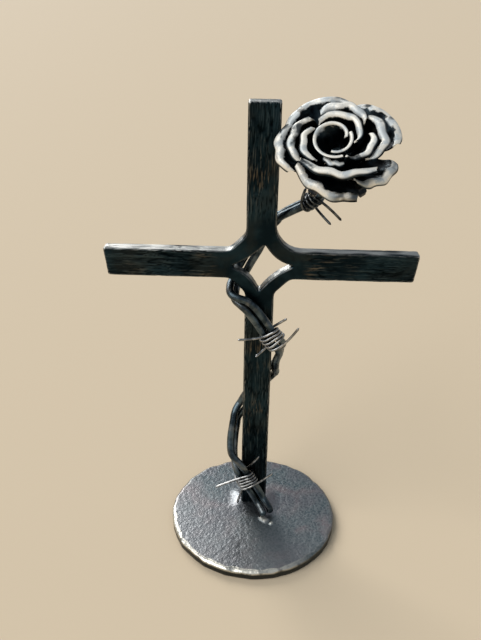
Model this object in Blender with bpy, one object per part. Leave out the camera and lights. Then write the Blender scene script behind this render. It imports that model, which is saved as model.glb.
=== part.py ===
# Wrought iron cross on a round base plate, with a climbing stem, barbed wire and a forged rose
# Metres, +Z up. The origin is the middle of the base plate's underside, and -Y is the front.

import math
import random
from collections import namedtuple

import bmesh
import bpy
from mathutils import Matrix, Vector

# Gap that touching pieces keep
FIT_GAP = 0.0003

# Base plate
PLATE_RADIUS = 0.081
PLATE_THICKNESS = 0.009
PLATE_EDGE = 0.0022          # rounding of the upper rim
PLATE_UNDER_EDGE = 0.0008    # rounding of the lower rim
PLATE_FLATS = 44             # hammered flats round the rim
PLATE_UNEVEN = 0.0007        # how far a flat may lie inside the true circle

# Cross: one square bar, slit both ways and opened
BAR_WIDTH = 0.0254           # face of post and arms
BAR_DEPTH = 0.0127           # front to back
ARM_SPAN = 0.267             # side arms, end to end
ARM_HEIGHT = 0.271           # middle of the side arms above the ground
CROSS_TOP = 0.405            # top of the upper arm above the ground
POST_SETBACK = 0.015         # post stands this far behind the plate's middle
ARM_END_RAKE = 0.003         # side arms are this much shorter along their lower edge
TOP_FLARE = 0.0005           # spread of the hammered upper end, each side
END_ROUNDING = 0.0016        # corners of the bar's ends
EDGE_BEVEL = 0.0012          # chamfer along the bar's long edges

# Opening at the crossing
EYE_REACH = 0.0245           # middle of the crossing to a corner of the opening
EYE_BOW = 0.0027             # how far the opening's sides bulge inward
EYE_SIDE_POINTS = 6
# Corners of the hand-opened diamond, as shares of its reach: top, left, bottom, right
EYE_CORNERS = ((0.14, 0.735), (-0.99, -0.07), (-0.03, -0.97), (1.12, -0.02))
# Bulge of each side as a share of the bow: lower right, lower left, upper left, upper right
EYE_BULGES = (0.90, 1.25, 0.55, 1.30)
# Bend radius of the bars beside the opening: upper right, upper left, lower left, lower right
KNEE_RADII = (0.0200, 0.0090, 0.0090, 0.0080)

# Stem: two round rods laid side by side, winding up round the post
ROD_RADIUS = 0.0035
STEM_POINT_STEP = 0.0062     # spacing of the points along a rod
CURVE_STEPS = 24                 # straight steps between two given points of the stem
STEM_CORNERING = 5.0         # how squarely the stem follows the post's corners
# Where the stem passes round the post: height as a share of ARM_HEIGHT, degrees round the post,
# how far the rods stand off the iron, and the pair's angle (90 lies both rods against the post)
STEM_ROUTE = (
    (0.083, -66.0, 0.0040, 90.0), (0.127, -89.0, 0.0042, 90.0), (0.168, -115.0, 0.0042, 90.0),
    (0.225, -138.0, 0.0040, 80.0), (0.270, -161.0, 0.0050, 68.0), (0.314, -176.0, 0.0056, 60.0),
    (0.362, -190.0, 0.0042, 58.0), (0.402, -205.0, 0.0025, 66.0), (0.438, -223.0, 0.0017, 78.0),
    (0.474, -238.0, 0.0018, 90.0), (0.508, -262.0, 0.0011, 90.0), (0.546, -296.0, 0.0010, 90.0),
    (0.575, -318.0, 0.0010, 90.0), (0.605, -335.0, 0.0008, 90.0), (0.630, -350.0, 0.0009, 84.0),
    (0.660, -362.0, 0.0021, 70.0), (0.694, -374.0, 0.0036, 78.0), (0.729, -392.0, 0.0050, 90.0),
    (0.771, -415.0, 0.0048, 90.0), (0.827, -450.0, 0.0038, 88.0), (0.872, -484.0, 0.0045, 80.0),
    (0.895, -515.0, 0.0062, 62.0), (0.906, -540.0, 0.0070, 50.0), (0.913, -558.0, 0.0062, 55.0),
    (0.930, -571.0, 0.0050, 65.0), (0.962, -580.0, 0.0036, 72.0), (0.990, -588.0, 0.0028, 75.0),
    (1.030, -606.0, 0.0024, 74.0), (1.063, -626.0, 0.0026, 52.0), (1.105, -652.0, 0.0036, 28.0),
    (1.140, -680.0, 0.0040, 10.0),
)
# Foot of the stem: place on the plate, height above it and the pair's angle
STEM_FOOT = ((0.0146, -0.0092, 0.0034, 130.0), (0.0118, -0.0053, 0.0078, 112.0))
# Where the stem leaves the cross for the rose: from the post's right front edge and the arms' middle
STEM_TO_ROSE = (
    (0.0114, 0.0144, 0.0448), (0.0223, 0.0094, 0.0522), (0.0321, 0.0044, 0.0603),
)

# Barbed wire
WIRE_RADIUS = 0.00115
WIRE_GAP = 0.0007                # clearance of the coils to the stem
WIRE_SPACING = 0.0034            # from one wire of a coil to the next
WIRE_POINTS_PER_TURN = 10
WIRE_END_POINTS = 4
WIRE_END_STRAIGHTNESS = 0.30     # how far an end keeps its first way, as a share of its length
WIRE_TURNS = 2
# Barb: share of the stem's length, and the tips of its two wires as (right, back, up) from its middle.
# Its first wire starts this many degrees round the stem from the front, the second half a turn on,
# and the hand (1 or -1) is the way both wind.
Barb = namedtuple("Barb", "name along turn hand tips")
BARBS = (
    Barb("lower", 0.100, 0.0, 1.0, (
        ((-0.0297, -0.0090, -0.0040), (0.0253, -0.0110, 0.0167)),
        ((0.0120, 0.0010, 0.0270), (-0.0083, -0.0030, -0.0289)),
    )),
    Barb("middle", 0.5105, 0.0, 1.0, (
        ((-0.0299, -0.0093, 0.0021), (0.0219, -0.0113, 0.0163)),
        ((0.0118, 0.0007, 0.0188), (-0.0141, -0.0033, -0.0176)),
    )),
    Barb("upper", 0.905, 180.0, -1.0, (
        ((-0.0089, -0.0008, 0.0154), (0.0154, -0.0048, -0.0192)),
        ((0.0241, -0.0008, -0.0167), (-0.0068, -0.0068, 0.0110)),
    )),
)

# Rose: its place beside the upper arm and the way it faces
ROSE_SIDE_REACH = 0.0430         # rose's middle to the right of the upper arm
ROSE_FRONT_REACH = 0.0190        # rose's middle in front of the arm's face
ROSE_RISE = 0.0978               # rose's middle above the side arms' middle
ROSE_TILT = math.radians(45.0)   # how far it looks up
ROSE_TURN = math.radians(8.0)    # how far it looks to the left

# Rose: sheet rings, each a disc cut into petals and forged up
SHEET = 0.0014                   # thickness of the petals
HUB_RADIUS = 0.0060
RIM_ROLL_ANGLE = math.radians(145.0)
CORNER_UNROLL = 0.30             # share by which the roll opens out at a petal's corners
CORNER_DRAW_IN = 0.10            # share of the reach by which the corners draw in
CORNER_DROP = 0.07               # share of the reach by which a tucked corner drops
TIP_NARROWING = 0.16             # share by which a petal narrows towards its rim
NARROWING_START = 0.40           # share of the way out at which that begins
OPENING_START = 0.12             # share of the way out at which a petal widens from its foot,
OPENING_SPAN = 0.45              # and over how much of the way
TUCK_START = 0.15                # the same for its tucked side
TUCK_SPAN = 0.40
SKEW_SPAN = 0.70
WAVES_PER_PETAL = 2.6
FOOT_WIDTH_SHARE = 0.72          # petals' width where they leave the hub, as a share of the whole circle
PETAL_COLUMNS = 5
PETAL_ROWS = 5
ROLL_ROWS = 3
# Petal: bearing and half width in degrees, reach, rise, and the shares by which the reach grows towards
# one corner (skew) and towards both, as on a rim cut straight (straightness)
Petal = namedtuple("Petal", "bearing half_width reach rise skew straightness")
Ring = namedtuple("Ring", "name base belly shoulder climb roll tuck wave petals")
RINGS = (
    Ring("rose_outer_petals", 0.0, 0.45, 0.84, 0.45, 0.0038, 0.0048, 0.0012, (
        Petal(46.0, 41.0, 0.0480, 0.0085, -0.04, 0.0), Petal(121.0, 43.0, 0.0475, 0.0100, 0.0, 0.0),
        Petal(180.0, 30.0, 0.0455, 0.0100, -0.09, 0.0), Petal(250.0, 54.0, 0.0332, 0.0060, 0.04, 0.40),
        Petal(328.0, 31.0, 0.0402, 0.0085, 0.12, 0.0),
    )),
    Ring("rose_middle_petals", SHEET + FIT_GAP, 0.61, 0.88, 0.52, 0.0034, 0.0036, 0.0010, (
        Petal(84.0, 44.0, 0.0325, 0.0175, 0.0, 0.0), Petal(175.0, 40.0, 0.0355, 0.0170, 0.0, 0.0),
        Petal(270.0, 61.0, 0.0292, 0.0200, 0.0, 0.60), Petal(9.0, 48.0, 0.0338, 0.0185, 0.0, 0.0),
    )),
    Ring("rose_inner_petals", 2.0 * (SHEET + FIT_GAP), 0.54, 0.93, 0.50, 0.0026, 0.0019, 0.0006, (
        Petal(65.0, 84.0, 0.0214, 0.0188, 0.20, 0.0), Petal(194.0, 40.0, 0.0276, 0.0197, 0.03, 0.0),
        Petal(260.0, 31.0, 0.0196, 0.0148, 0.0, 0.80), Petal(335.0, 46.0, 0.0252, 0.0200, 0.12, 0.0),
    )),
)

# Rose heart: two strips curled into each other
# Curl: its ends' bearings at the rim and at the foot in degrees, and its distance from the heart's
# middle at each end
Curl = namedtuple("Curl", "start end foot_start foot_end start_reach end_reach columns")
CURLS = (
    Curl(-65.0, -350.0, -108.0, -315.0, 0.0144, 0.0065, 20),
    Curl(30.0, -100.0, 30.0, -100.0, 0.0108, 0.0100, 9),
)
HEART_FOOT_SHARE = 0.40          # size at the foot, as a share of that at the rim
HEART_RIM = 0.0225               # height of its rim above the rose's middle
HEART_LEAN = (-0.0026, 0.0005)   # how far its rim stands off the rose's axis
HEART_ROLL = 0.0012
HEART_SHEET = 0.0010             # the thinner sheet it is curled from
HEART_ROWS = 3

# Calyx: a hip on the stem's end and a star of curled sepals
SEPAL_COUNT = 5
SEPAL_FIRST_BEARING = math.radians(-50.0)
SEPAL_THICKNESS = 0.0020
SEPAL_LENGTH = 0.0290            # from the axis to where the curl starts
SEPAL_HALF_WIDTH = 0.0042
SEPAL_ROOT = 0.80                # its width at the root as a share of that, the bulge beyond
SEPAL_BULGE = 0.35               # and how far out the bulge ends, and how much the tip tapers
SEPAL_BULGE_SPAN = 0.625
SEPAL_TAPER = 0.55
SEPAL_CURL_CLOSING = 0.25        # share by which its curl tightens towards the tip
SEPAL_DROP = 0.0045              # how far the sepals fall back before they curl
SEPAL_CURL_RADIUS = 0.0045
SEPAL_CURL_ANGLE = math.radians(250.0)
SEPAL_STRAIGHT_ROWS = 3
SEPAL_CURL_ROWS = 5
HIP_LENGTH = 0.0100
HIP_FRONT_RADIUS = 0.0095
HIP_SIDES = 14


# Materials
def iron(name, colour, roughness, metallic):
    material = bpy.data.materials.new(name)
    material.use_nodes = True
    shader = material.node_tree.nodes["Principled BSDF"]
    shader.inputs["Base Color"].default_value = (*colour, 1.0)
    shader.inputs["Roughness"].default_value = roughness
    shader.inputs["Metallic"].default_value = metallic
    material.diffuse_color = (*colour, 1.0)
    return material


# Objects from meshes
def add_object(name, bm, material, placement=None):
    mesh = bpy.data.meshes.new(name)
    bmesh.ops.recalc_face_normals(bm, faces=bm.faces)
    bm.to_mesh(mesh)
    bm.free()
    mesh.shade_smooth()
    mesh.set_sharp_from_angle(angle=math.radians(35.0))
    obj = bpy.data.objects.new(name, mesh)
    bpy.context.scene.collection.objects.link(obj)
    if material:
        mesh.materials.append(material)
    if placement:
        obj.matrix_world = placement
    return obj


def add_ring(bm, points):
    return [bm.verts.new(point) for point in points]


def skin_between(bm, ring_a, ring_b):
    count = len(ring_a)
    for i in range(count):
        bm.faces.new((ring_a[i], ring_a[(i + 1) % count], ring_b[(i + 1) % count], ring_b[i]))


# Flat outlines
def rounded_outline(corners, steps=3):
    """Round each corner (x, z, radius) of a closed outline with an arc."""
    points = []
    count = len(corners)
    for i in range(count):
        here = Vector(corners[i][:2])
        before = (Vector(corners[i - 1][:2]) - here).normalized()
        after = (Vector(corners[(i + 1) % count][:2]) - here).normalized()
        half = before.angle(after) / 2.0
        radius = corners[i][2]
        centre = here + (before + after).normalized() * radius / math.sin(half)
        start = here + before * radius / math.tan(half) - centre
        end = here + after * radius / math.tan(half) - centre
        sweep = start.angle_signed(end)
        for k in range(steps + 1):
            turned = start.copy()
            turned.rotate(Matrix.Rotation(-sweep * k / steps, 2))
            points.append(centre + turned)
    return points


def bowed_side(start, end, bow, count):
    """Points from start up to, not including, end on an arc that bulges to the left of the way."""
    start = Vector(start)
    end = Vector(end)
    across = Vector((start.y - end.y, end.x - start.x)).normalized()
    points = []
    for k in range(count):
        t = k / count
        points.append(start.lerp(end, t) + across * bow * math.sin(math.pi * t))
    return points


def inset_outline(points, distance):
    """Move each point of a closed outline to the left of its way by a distance, mitred."""
    moved = []
    count = len(points)
    for i in range(count):
        way_in = (points[i] - points[i - 1]).normalized()
        way_out = (points[(i + 1) % count] - points[i]).normalized()
        normal_in = Vector((-way_in.y, way_in.x))
        normal_out = Vector((-way_out.y, way_out.x))
        middle = (normal_in + normal_out).normalized()
        moved.append(points[i] + middle * distance / max(middle.dot(normal_in), 0.5))
    return moved


# Cross
def cross_outline():
    half = BAR_WIDTH / 2.0
    # The outer line of each diagonal bar lies half a bar width outside the opening
    diagonal = math.sqrt(2.0) * (EYE_REACH / math.sqrt(2.0) - EYE_BOW + half)
    knee = diagonal - half
    foot = PLATE_THICKNESS + FIT_GAP - ARM_HEIGHT
    top = CROSS_TOP - ARM_HEIGHT
    end = ARM_SPAN / 2.0
    upper_right, upper_left, lower_left, lower_right = KNEE_RADII
    corners = (
        (half + TOP_FLARE, top, END_ROUNDING),
        (-half - TOP_FLARE, top, END_ROUNDING),
        (-half, knee, upper_left),
        (-knee, half, upper_left),
        (-end, half, END_ROUNDING),
        (-end + ARM_END_RAKE, -half, END_ROUNDING),
        (-knee, -half, lower_left),
        (-half, -knee, lower_left),
        (-half, foot, END_ROUNDING),
        (half, foot, END_ROUNDING),
        (half, -knee, lower_right),
        (knee, -half, lower_right),
        (end - ARM_END_RAKE, -half, END_ROUNDING),
        (end, half, END_ROUNDING),
        (knee, half, upper_right),
        (half, knee, upper_right),
    )
    return rounded_outline(corners)


def eye_outline():
    """The opening's outline, running clockwise so that its left side is in the iron."""
    corners = [Vector(corner) * EYE_REACH for corner in reversed(EYE_CORNERS)]
    points = []
    for i, bulge in enumerate(EYE_BULGES):
        points += bowed_side(corners[i], corners[(i + 1) % 4], -EYE_BOW * bulge, EYE_SIDE_POINTS)
    return points


def make_cross(material):
    bm = bmesh.new()
    half_depth = BAR_DEPTH / 2.0
    cap_edges = {-1: [], 1: []}
    for outline in (cross_outline(), eye_outline()):
        inner = inset_outline(outline, EDGE_BEVEL)
        layers = (
            (inner, -half_depth), (outline, -half_depth + EDGE_BEVEL),
            (outline, half_depth - EDGE_BEVEL), (inner, half_depth),
        )
        rings = [add_ring(bm, [(x, y, z) for x, z in points]) for points, y in layers]
        for near, far in zip(rings, rings[1:]):
            skin_between(bm, near, far)
        for side, ring in ((-1, rings[0]), (1, rings[-1])):
            for i in range(len(ring)):
                cap_edges[side].append(bm.edges.get((ring[i - 1], ring[i])))
    for edges in cap_edges.values():
        bmesh.ops.triangle_fill(bm, use_beauty=True, edges=edges)
    placement = Matrix.Translation((0.0, POST_SETBACK, ARM_HEIGHT))
    return add_object("cross", bm, material, placement)


# Base plate
def make_base_plate(material):
    rng = random.Random(11)
    bearings = []
    radii = []
    for k in range(PLATE_FLATS):
        bearings.append(2.0 * math.pi * (k + rng.uniform(-0.28, 0.28)) / PLATE_FLATS)
        radii.append(PLATE_RADIUS - (rng.uniform(0.0, PLATE_UNEVEN) if k % (PLATE_FLATS // 4) else 0.0))
    for quarter in range(4):
        bearings[quarter * PLATE_FLATS // 4] = quarter * math.pi / 2.0
    profile = (
        (PLATE_UNDER_EDGE, 0.0),
        (0.0, PLATE_UNDER_EDGE),
        (0.0, PLATE_THICKNESS - PLATE_EDGE),
        (0.3 * PLATE_EDGE, PLATE_THICKNESS - 0.3 * PLATE_EDGE),
        (PLATE_EDGE, PLATE_THICKNESS),
    )
    bm = bmesh.new()
    rings = []
    for inset, height in profile:
        points = []
        for bearing, radius in zip(bearings, radii):
            reach = radius - inset
            points.append((reach * math.cos(bearing), reach * math.sin(bearing), height))
        rings.append(add_ring(bm, points))
    for low, high in zip(rings, rings[1:]):
        skin_between(bm, low, high)
    bm.faces.new(rings[0])
    bm.faces.new(rings[-1])
    return add_object("base_plate", bm, material)


# Rods and wires
def add_rod(name, points, radius, resolution, material):
    curve = bpy.data.curves.new(name, "CURVE")
    curve.dimensions = "3D"
    curve.bevel_depth = radius
    curve.bevel_resolution = resolution
    curve.use_fill_caps = True
    spline = curve.splines.new("POLY")
    spline.points.add(len(points) - 1)
    for spot, point in zip(spline.points, points):
        spot.co = (*point, 1.0)
    curve.materials.append(material)
    obj = bpy.data.objects.new(name, curve)
    bpy.context.scene.collection.objects.link(obj)
    return obj


# Rose frame: x to the rose's right, y up its face, z out of it towards the viewer
def rose_frame():
    facing = Vector((
        -math.sin(ROSE_TURN) * math.cos(ROSE_TILT),
        -math.cos(ROSE_TURN) * math.cos(ROSE_TILT),
        math.sin(ROSE_TILT),
    ))
    right = Vector((math.cos(ROSE_TURN), -math.sin(ROSE_TURN), 0.0))
    up = facing.cross(right)
    middle = Vector((
        BAR_WIDTH / 2.0 + ROSE_SIDE_REACH,
        POST_SETBACK - BAR_DEPTH / 2.0 - ROSE_FRONT_REACH,
        ARM_HEIGHT + ROSE_RISE,
    ))
    return Matrix.Translation(middle) @ Matrix((right, up, facing)).transposed().to_4x4()


# Stem
ROD_OFFSET = ROD_RADIUS + FIT_GAP
STEM_RADIUS = ROD_OFFSET + ROD_RADIUS
COIL_STAND_OFF = ROD_RADIUS + WIRE_GAP + WIRE_RADIUS
HIP_BACK = -(SHEET / 2.0 + FIT_GAP + SEPAL_THICKNESS + HIP_LENGTH)


def beside_post(height, degrees, stand_off):
    """A point of the stem's middle line, clear of the post's faces and corners."""
    bearing = math.radians(degrees)
    across = abs(math.cos(bearing)) / (BAR_WIDTH / 2.0 + stand_off + ROD_RADIUS)
    along = abs(math.sin(bearing)) / (BAR_DEPTH / 2.0 + stand_off + ROD_RADIUS)
    reach = (across**STEM_CORNERING + along**STEM_CORNERING) ** (-1.0 / STEM_CORNERING)
    return Vector((reach * math.cos(bearing), POST_SETBACK + reach * math.sin(bearing), height))


def smooth_path(points, step):
    """Evenly spaced points along a smooth curve through the given ones."""
    fine = []
    padded = [2.0 * points[0] - points[1], *points, 2.0 * points[-1] - points[-2]]
    for before, start, end, after in zip(padded, padded[1:], padded[2:], padded[3:]):
        leave = (end - before) / 2.0
        arrive = (after - start) / 2.0
        for k in range(CURVE_STEPS):
            t = k / CURVE_STEPS
            fine.append(
                start * (2.0 * t**3 - 3.0 * t**2 + 1.0) + leave * (t**3 - 2.0 * t**2 + t)
                + end * (3.0 * t**2 - 2.0 * t**3) + arrive * (t**3 - t**2)
            )
    fine.append(points[-1])
    lengths = [0.0]
    for a, b in zip(fine, fine[1:]):
        lengths.append(lengths[-1] + (b.xyz - a.xyz).length)
    count = max(2, round(lengths[-1] / step))
    even = []
    i = 0
    for k in range(count + 1):
        target = lengths[-1] * k / count
        while i < len(fine) - 2 and lengths[i + 1] < target:
            i += 1
        share = (target - lengths[i]) / (lengths[i + 1] - lengths[i])
        even.append(fine[i].lerp(fine[i + 1], share))
    return even


def stem_line():
    """The stem from foot to rose, step by step: middle, axis, and the way from it to the first rod."""
    points = [
        Vector((x, y, PLATE_THICKNESS + height, math.radians(pair_angle)))
        for x, y, height, pair_angle in STEM_FOOT
    ]
    for share, degrees, stand_off, pair_angle in STEM_ROUTE:
        spot = beside_post(share * ARM_HEIGHT, degrees, stand_off)
        points.append(Vector((*spot, math.radians(pair_angle))))
    edge = Vector((BAR_WIDTH / 2.0, POST_SETBACK - BAR_DEPTH / 2.0, ARM_HEIGHT))
    last_angle = points[-1].w
    points += [Vector((*(edge + Vector(spot)), last_angle)) for spot in STEM_TO_ROSE]
    rose = rose_frame()
    for behind in (4.0 * ROD_RADIUS, 2.0 * ROD_RADIUS, 0.0):
        points.append(Vector((*(rose @ Vector((0.0, 0.0, HIP_BACK - FIT_GAP - behind))), last_angle)))
    line = smooth_path(points, STEM_POINT_STEP)
    frames = []
    outward = Vector((0.0, -1.0, 0.0))
    for i, point in enumerate(line):
        axis = (line[min(i + 1, len(line) - 1)].xyz - line[max(i - 1, 0)].xyz).normalized()
        # Past the cross the pair simply keeps its side
        if point.z < STEM_ROUTE[-1][0] * ARM_HEIGHT:
            beside = Vector((
                min(max(point.x, -BAR_WIDTH / 2.0), BAR_WIDTH / 2.0),
                min(max(point.y, POST_SETBACK - BAR_DEPTH / 2.0), POST_SETBACK + BAR_DEPTH / 2.0),
                point.z,
            ))
            outward = point.xyz - beside
        outward = (outward - axis * outward.dot(axis)).normalized()
        other = axis.cross(outward)
        frames.append((point.xyz, axis, math.cos(point.w) * outward + math.sin(point.w) * other))
    return frames


def make_stem(frames, material):
    for letter, side in (("a", 1.0), ("b", -1.0)):
        points = [point + side * ROD_OFFSET * pair for point, axis, pair in frames]
        add_rod(f"stem_rod_{letter}", points, ROD_RADIUS, 2, material)


# Barbed wire
def wire_end(start, way, tip):
    """Points from a coil's end to the wire's tip, leaving along the coil."""
    control = start + way * (tip - start).length * WIRE_END_STRAIGHTNESS
    points = []
    for k in range(1, WIRE_END_POINTS + 1):
        t = k / WIRE_END_POINTS
        points.append(start * (1.0 - t) ** 2 + control * 2.0 * t * (1.0 - t) + tip * t**2)
    return points


def round_the_stem(frames, place, angle):
    """A point of a wire pulled tight round both rods, at a place along the stem."""
    i = min(max(int(place), 0), len(frames) - 2)
    point, axis, pair = (a.lerp(b, place - i) for a, b in zip(frames[i], frames[i + 1]))
    axis.normalize()
    front = Vector((0.0, -1.0, 0.0))
    front = (front - axis * front.dot(axis)).normalized()
    way = math.cos(angle) * front + math.sin(angle) * axis.cross(front)
    rod = ROD_OFFSET if way.dot(pair) > 0.0 else -ROD_OFFSET
    return point + rod * pair + COIL_STAND_OFF * way


def make_barb(barb, frames, material):
    place = barb.along * (len(frames) - 1)
    middle = frames[int(place)][0].lerp(frames[int(place) + 1][0], place - int(place))
    step = (frames[1][0] - frames[0][0]).length
    count = WIRE_TURNS * WIRE_POINTS_PER_TURN
    for letter, half_turn, (first_tip, last_tip) in zip("ab", (0.0, 180.0), barb.tips):
        start_angle = math.radians(barb.turn + half_turn)
        coil = []
        for k in range(count + 1):
            angle = start_angle + barb.hand * 2.0 * math.pi * k / WIRE_POINTS_PER_TURN
            along = 2.0 * WIRE_SPACING * WIRE_TURNS * (0.5 - k / count)
            coil.append(round_the_stem(frames, place + along / step, angle))
        lead_in = wire_end(coil[0], (coil[0] - coil[1]).normalized(), middle + Vector(first_tip))
        lead_out = wire_end(coil[-1], (coil[-1] - coil[-2]).normalized(), middle + Vector(last_tip))
        points = lead_in[::-1] + coil + lead_out
        add_rod(f"{barb.name}_barb_wire_{letter}", points, WIRE_RADIUS, 1, material)


# Petals
def smoothstep(x):
    x = min(max(x, 0.0), 1.0)
    return x * x * (3.0 - 2.0 * x)


def petal_profile(ring, petal):
    """Place and slope along a petal's middle, and how far its rim is rolled outward there."""
    foot = Vector((HUB_RADIUS, ring.base))
    slope = math.atan2(
        petal.rise * (1.0 - ring.climb),
        petal.reach * (1.0 - ring.shoulder),
    )
    lip = Vector((petal.reach - ring.roll * (1.0 + math.sin(slope)), ring.base + petal.rise))
    belly = Vector((petal.reach * ring.belly, ring.base))
    shoulder = Vector((lip.x * ring.shoulder, ring.base + petal.rise * ring.climb))
    slope = math.atan2(lip.y - shoulder.y, lip.x - shoulder.x)
    rows = []
    for k in range(PETAL_ROWS + 1):
        t = k / PETAL_ROWS
        spot = (
            foot * (1.0 - t) ** 3 + belly * 3.0 * t * (1.0 - t) ** 2
            + shoulder * 3.0 * t**2 * (1.0 - t) + lip * t**3
        )
        way = (
            (belly - foot) * (1.0 - t) ** 2 + (shoulder - belly) * 2.0 * t * (1.0 - t)
            + (lip - shoulder) * t**2
        )
        rows.append((spot, math.atan2(way.y, way.x), 0.0))
    rows += [(lip, slope, k / ROLL_ROWS) for k in range(1, ROLL_ROWS + 1)]
    return rows


def petal_rows(ring, petal, base_half_width):
    """Points of one petal, row by row from the hub to the rolled rim, in the rose's frame."""
    profile = petal_profile(ring, petal)
    lip_share = PETAL_ROWS / (len(profile) - 1)
    rows = []
    for r, (spot, slope, roll) in enumerate(profile):
        v = r / (len(profile) - 1)
        opened = smoothstep((v - OPENING_START) / OPENING_SPAN)
        half_width = base_half_width + (math.radians(petal.half_width) - base_half_width) * opened
        half_width *= 1.0 - TIP_NARROWING * smoothstep((v - NARROWING_START) / (1.0 - NARROWING_START))
        row = []
        for c in range(PETAL_COLUMNS + 1):
            u = 2.0 * c / PETAL_COLUMNS - 1.0
            # The rim is rolled less towards the petal's corners
            turned = slope - RIM_ROLL_ANGLE * roll * (1.0 - CORNER_UNROLL * u**2)
            rolled = spot + ring.roll * Vector((
                math.sin(slope) - math.sin(turned), math.cos(turned) - math.cos(slope),
            ))
            # The corners draw in, and one side of each petal is tucked behind the next
            corner = abs(u) ** 3 * smoothstep((v - TUCK_START) / (lip_share - TUCK_START)) * petal.reach
            tuck = ring.tuck * (1.0 + u) / 2.0 * smoothstep((v - TUCK_START) / TUCK_SPAN)
            wave = ring.wave * math.sin(WAVES_PER_PETAL * math.pi * u + petal.bearing) * (1.0 - u**2)
            back = tuck + wave * smoothstep((v - TUCK_START) / (lip_share - TUCK_START))
            straight = petal.straightness * (1.0 / math.cos(half_width * u) - 1.0)
            reach = rolled.x * (1.0 + (petal.skew * u + straight) * smoothstep(v / SKEW_SPAN))
            radius = reach - CORNER_DRAW_IN * corner + back * math.sin(max(slope, 0.0))
            height = rolled.y - CORNER_DROP * corner * (1.0 + u) / 2.0 - back * math.cos(max(slope, 0.0))
            bearing = math.radians(petal.bearing) + half_width * u
            row.append(Vector((radius * math.cos(bearing), radius * math.sin(bearing), height)))
        rows.append(row)
    return rows


def add_sheet_rows(bm, rows):
    grid = [add_ring(bm, row) for row in rows]
    for low, high in zip(grid, grid[1:]):
        for c in range(len(low) - 1):
            bm.faces.new((low[c], low[c + 1], high[c + 1], high[c]))
    return grid


def add_hub(bm, foot_rows, height):
    """A flat hub whose edge runs along the foot of every petal in turn."""
    centre = bm.verts.new((0.0, 0.0, height))
    edge = [vert for row in foot_rows for vert in row]
    for i in range(len(edge)):
        bm.faces.new((centre, edge[i - 1], edge[i]))


def thicken(obj, thickness):
    solidify = obj.modifiers.new("thickness", "SOLIDIFY")
    solidify.thickness = thickness
    solidify.offset = 0.0
    return solidify


def make_ring(ring, material):
    bm = bmesh.new()
    order = sorted(ring.petals, key=lambda petal: petal.bearing)
    feet = []
    for i, petal in enumerate(order):
        to_last = (petal.bearing - order[i - 1].bearing) % 360.0
        to_next = (order[(i + 1) % len(order)].bearing - petal.bearing) % 360.0
        base_half_width = math.radians(min(to_last, to_next)) / 2.0 * FOOT_WIDTH_SHARE
        feet.append(add_sheet_rows(bm, petal_rows(ring, petal, base_half_width))[0])
    add_hub(bm, feet, ring.base)
    obj = add_object(ring.name, bm, material, rose_frame())
    thicken(obj, SHEET)
    return obj


# Rose heart
def curl_rows(curl, foot):
    """Points of one curled strip, row by row from its foot to the rolled rim, in the rose's frame."""
    rows = []
    for r in range(HEART_ROWS + ROLL_ROWS + 1):
        climbed = min(r / HEART_ROWS, 1.0)
        rolled = RIM_ROLL_ANGLE * max(r - HEART_ROWS, 0) / ROLL_ROWS
        size = HEART_FOOT_SHARE + (1.0 - HEART_FOOT_SHARE) * climbed**1.5
        row = []
        for c in range(curl.columns + 1):
            done = c / curl.columns
            at_foot = curl.foot_start + (curl.foot_end - curl.foot_start) * done
            at_rim = curl.start + (curl.end - curl.start) * done
            bearing = math.radians(at_foot + (at_rim - at_foot) * climbed)
            radius = (curl.start_reach + (curl.end_reach - curl.start_reach) * done**3) * size
            radius += HEART_ROLL * (1.0 - math.cos(rolled))
            height = foot + (HEART_RIM - foot) * climbed + HEART_ROLL * math.sin(rolled)
            row.append(Vector((
                radius * math.cos(bearing) + HEART_LEAN[0] * climbed,
                radius * math.sin(bearing) + HEART_LEAN[1] * climbed,
                height,
            )))
        rows.append(row)
    return rows


def make_heart(material):
    foot = len(RINGS) * (SHEET + FIT_GAP) + FIT_GAP
    bm = bmesh.new()
    feet = [add_sheet_rows(bm, curl_rows(curl, foot))[0] for curl in CURLS]
    add_hub(bm, feet, foot)
    obj = add_object("rose_heart", bm, material, rose_frame())
    thicken(obj, HEART_SHEET)
    return obj


# Calyx
def sepal_rows(bearing, height):
    outward = Vector((math.cos(bearing), math.sin(bearing), 0.0))
    across = Vector((-math.sin(bearing), math.cos(bearing), 0.0))
    way_down = math.atan2(-SEPAL_DROP, SEPAL_LENGTH - HUB_RADIUS)
    line = []
    for k in range(SEPAL_STRAIGHT_ROWS + 1):
        share = k / SEPAL_STRAIGHT_ROWS
        line.append(Vector((HUB_RADIUS + (SEPAL_LENGTH - HUB_RADIUS) * share, height - SEPAL_DROP * share)))
    start = line[-1]
    for k in range(1, SEPAL_CURL_ROWS + 1):
        turned = way_down - SEPAL_CURL_ANGLE * k / SEPAL_CURL_ROWS
        line.append(start + SEPAL_CURL_RADIUS * (1.0 - SEPAL_CURL_CLOSING * k / SEPAL_CURL_ROWS) * Vector((
            math.sin(way_down) - math.sin(turned), math.cos(turned) - math.cos(way_down),
        )))
    rows = []
    last = len(line) - 1
    for r, spot in enumerate(line):
        share = r / last
        bulge = SEPAL_BULGE * math.sin(math.pi * min(share / SEPAL_BULGE_SPAN, 1.0))
        half_width = SEPAL_HALF_WIDTH * (SEPAL_ROOT + bulge - SEPAL_TAPER * share**2)
        rows.append([
            outward * spot.x + across * half_width * u + Vector((0.0, 0.0, spot.y)) for u in (-1.0, 0.0, 1.0)
        ])
    return rows


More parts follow.
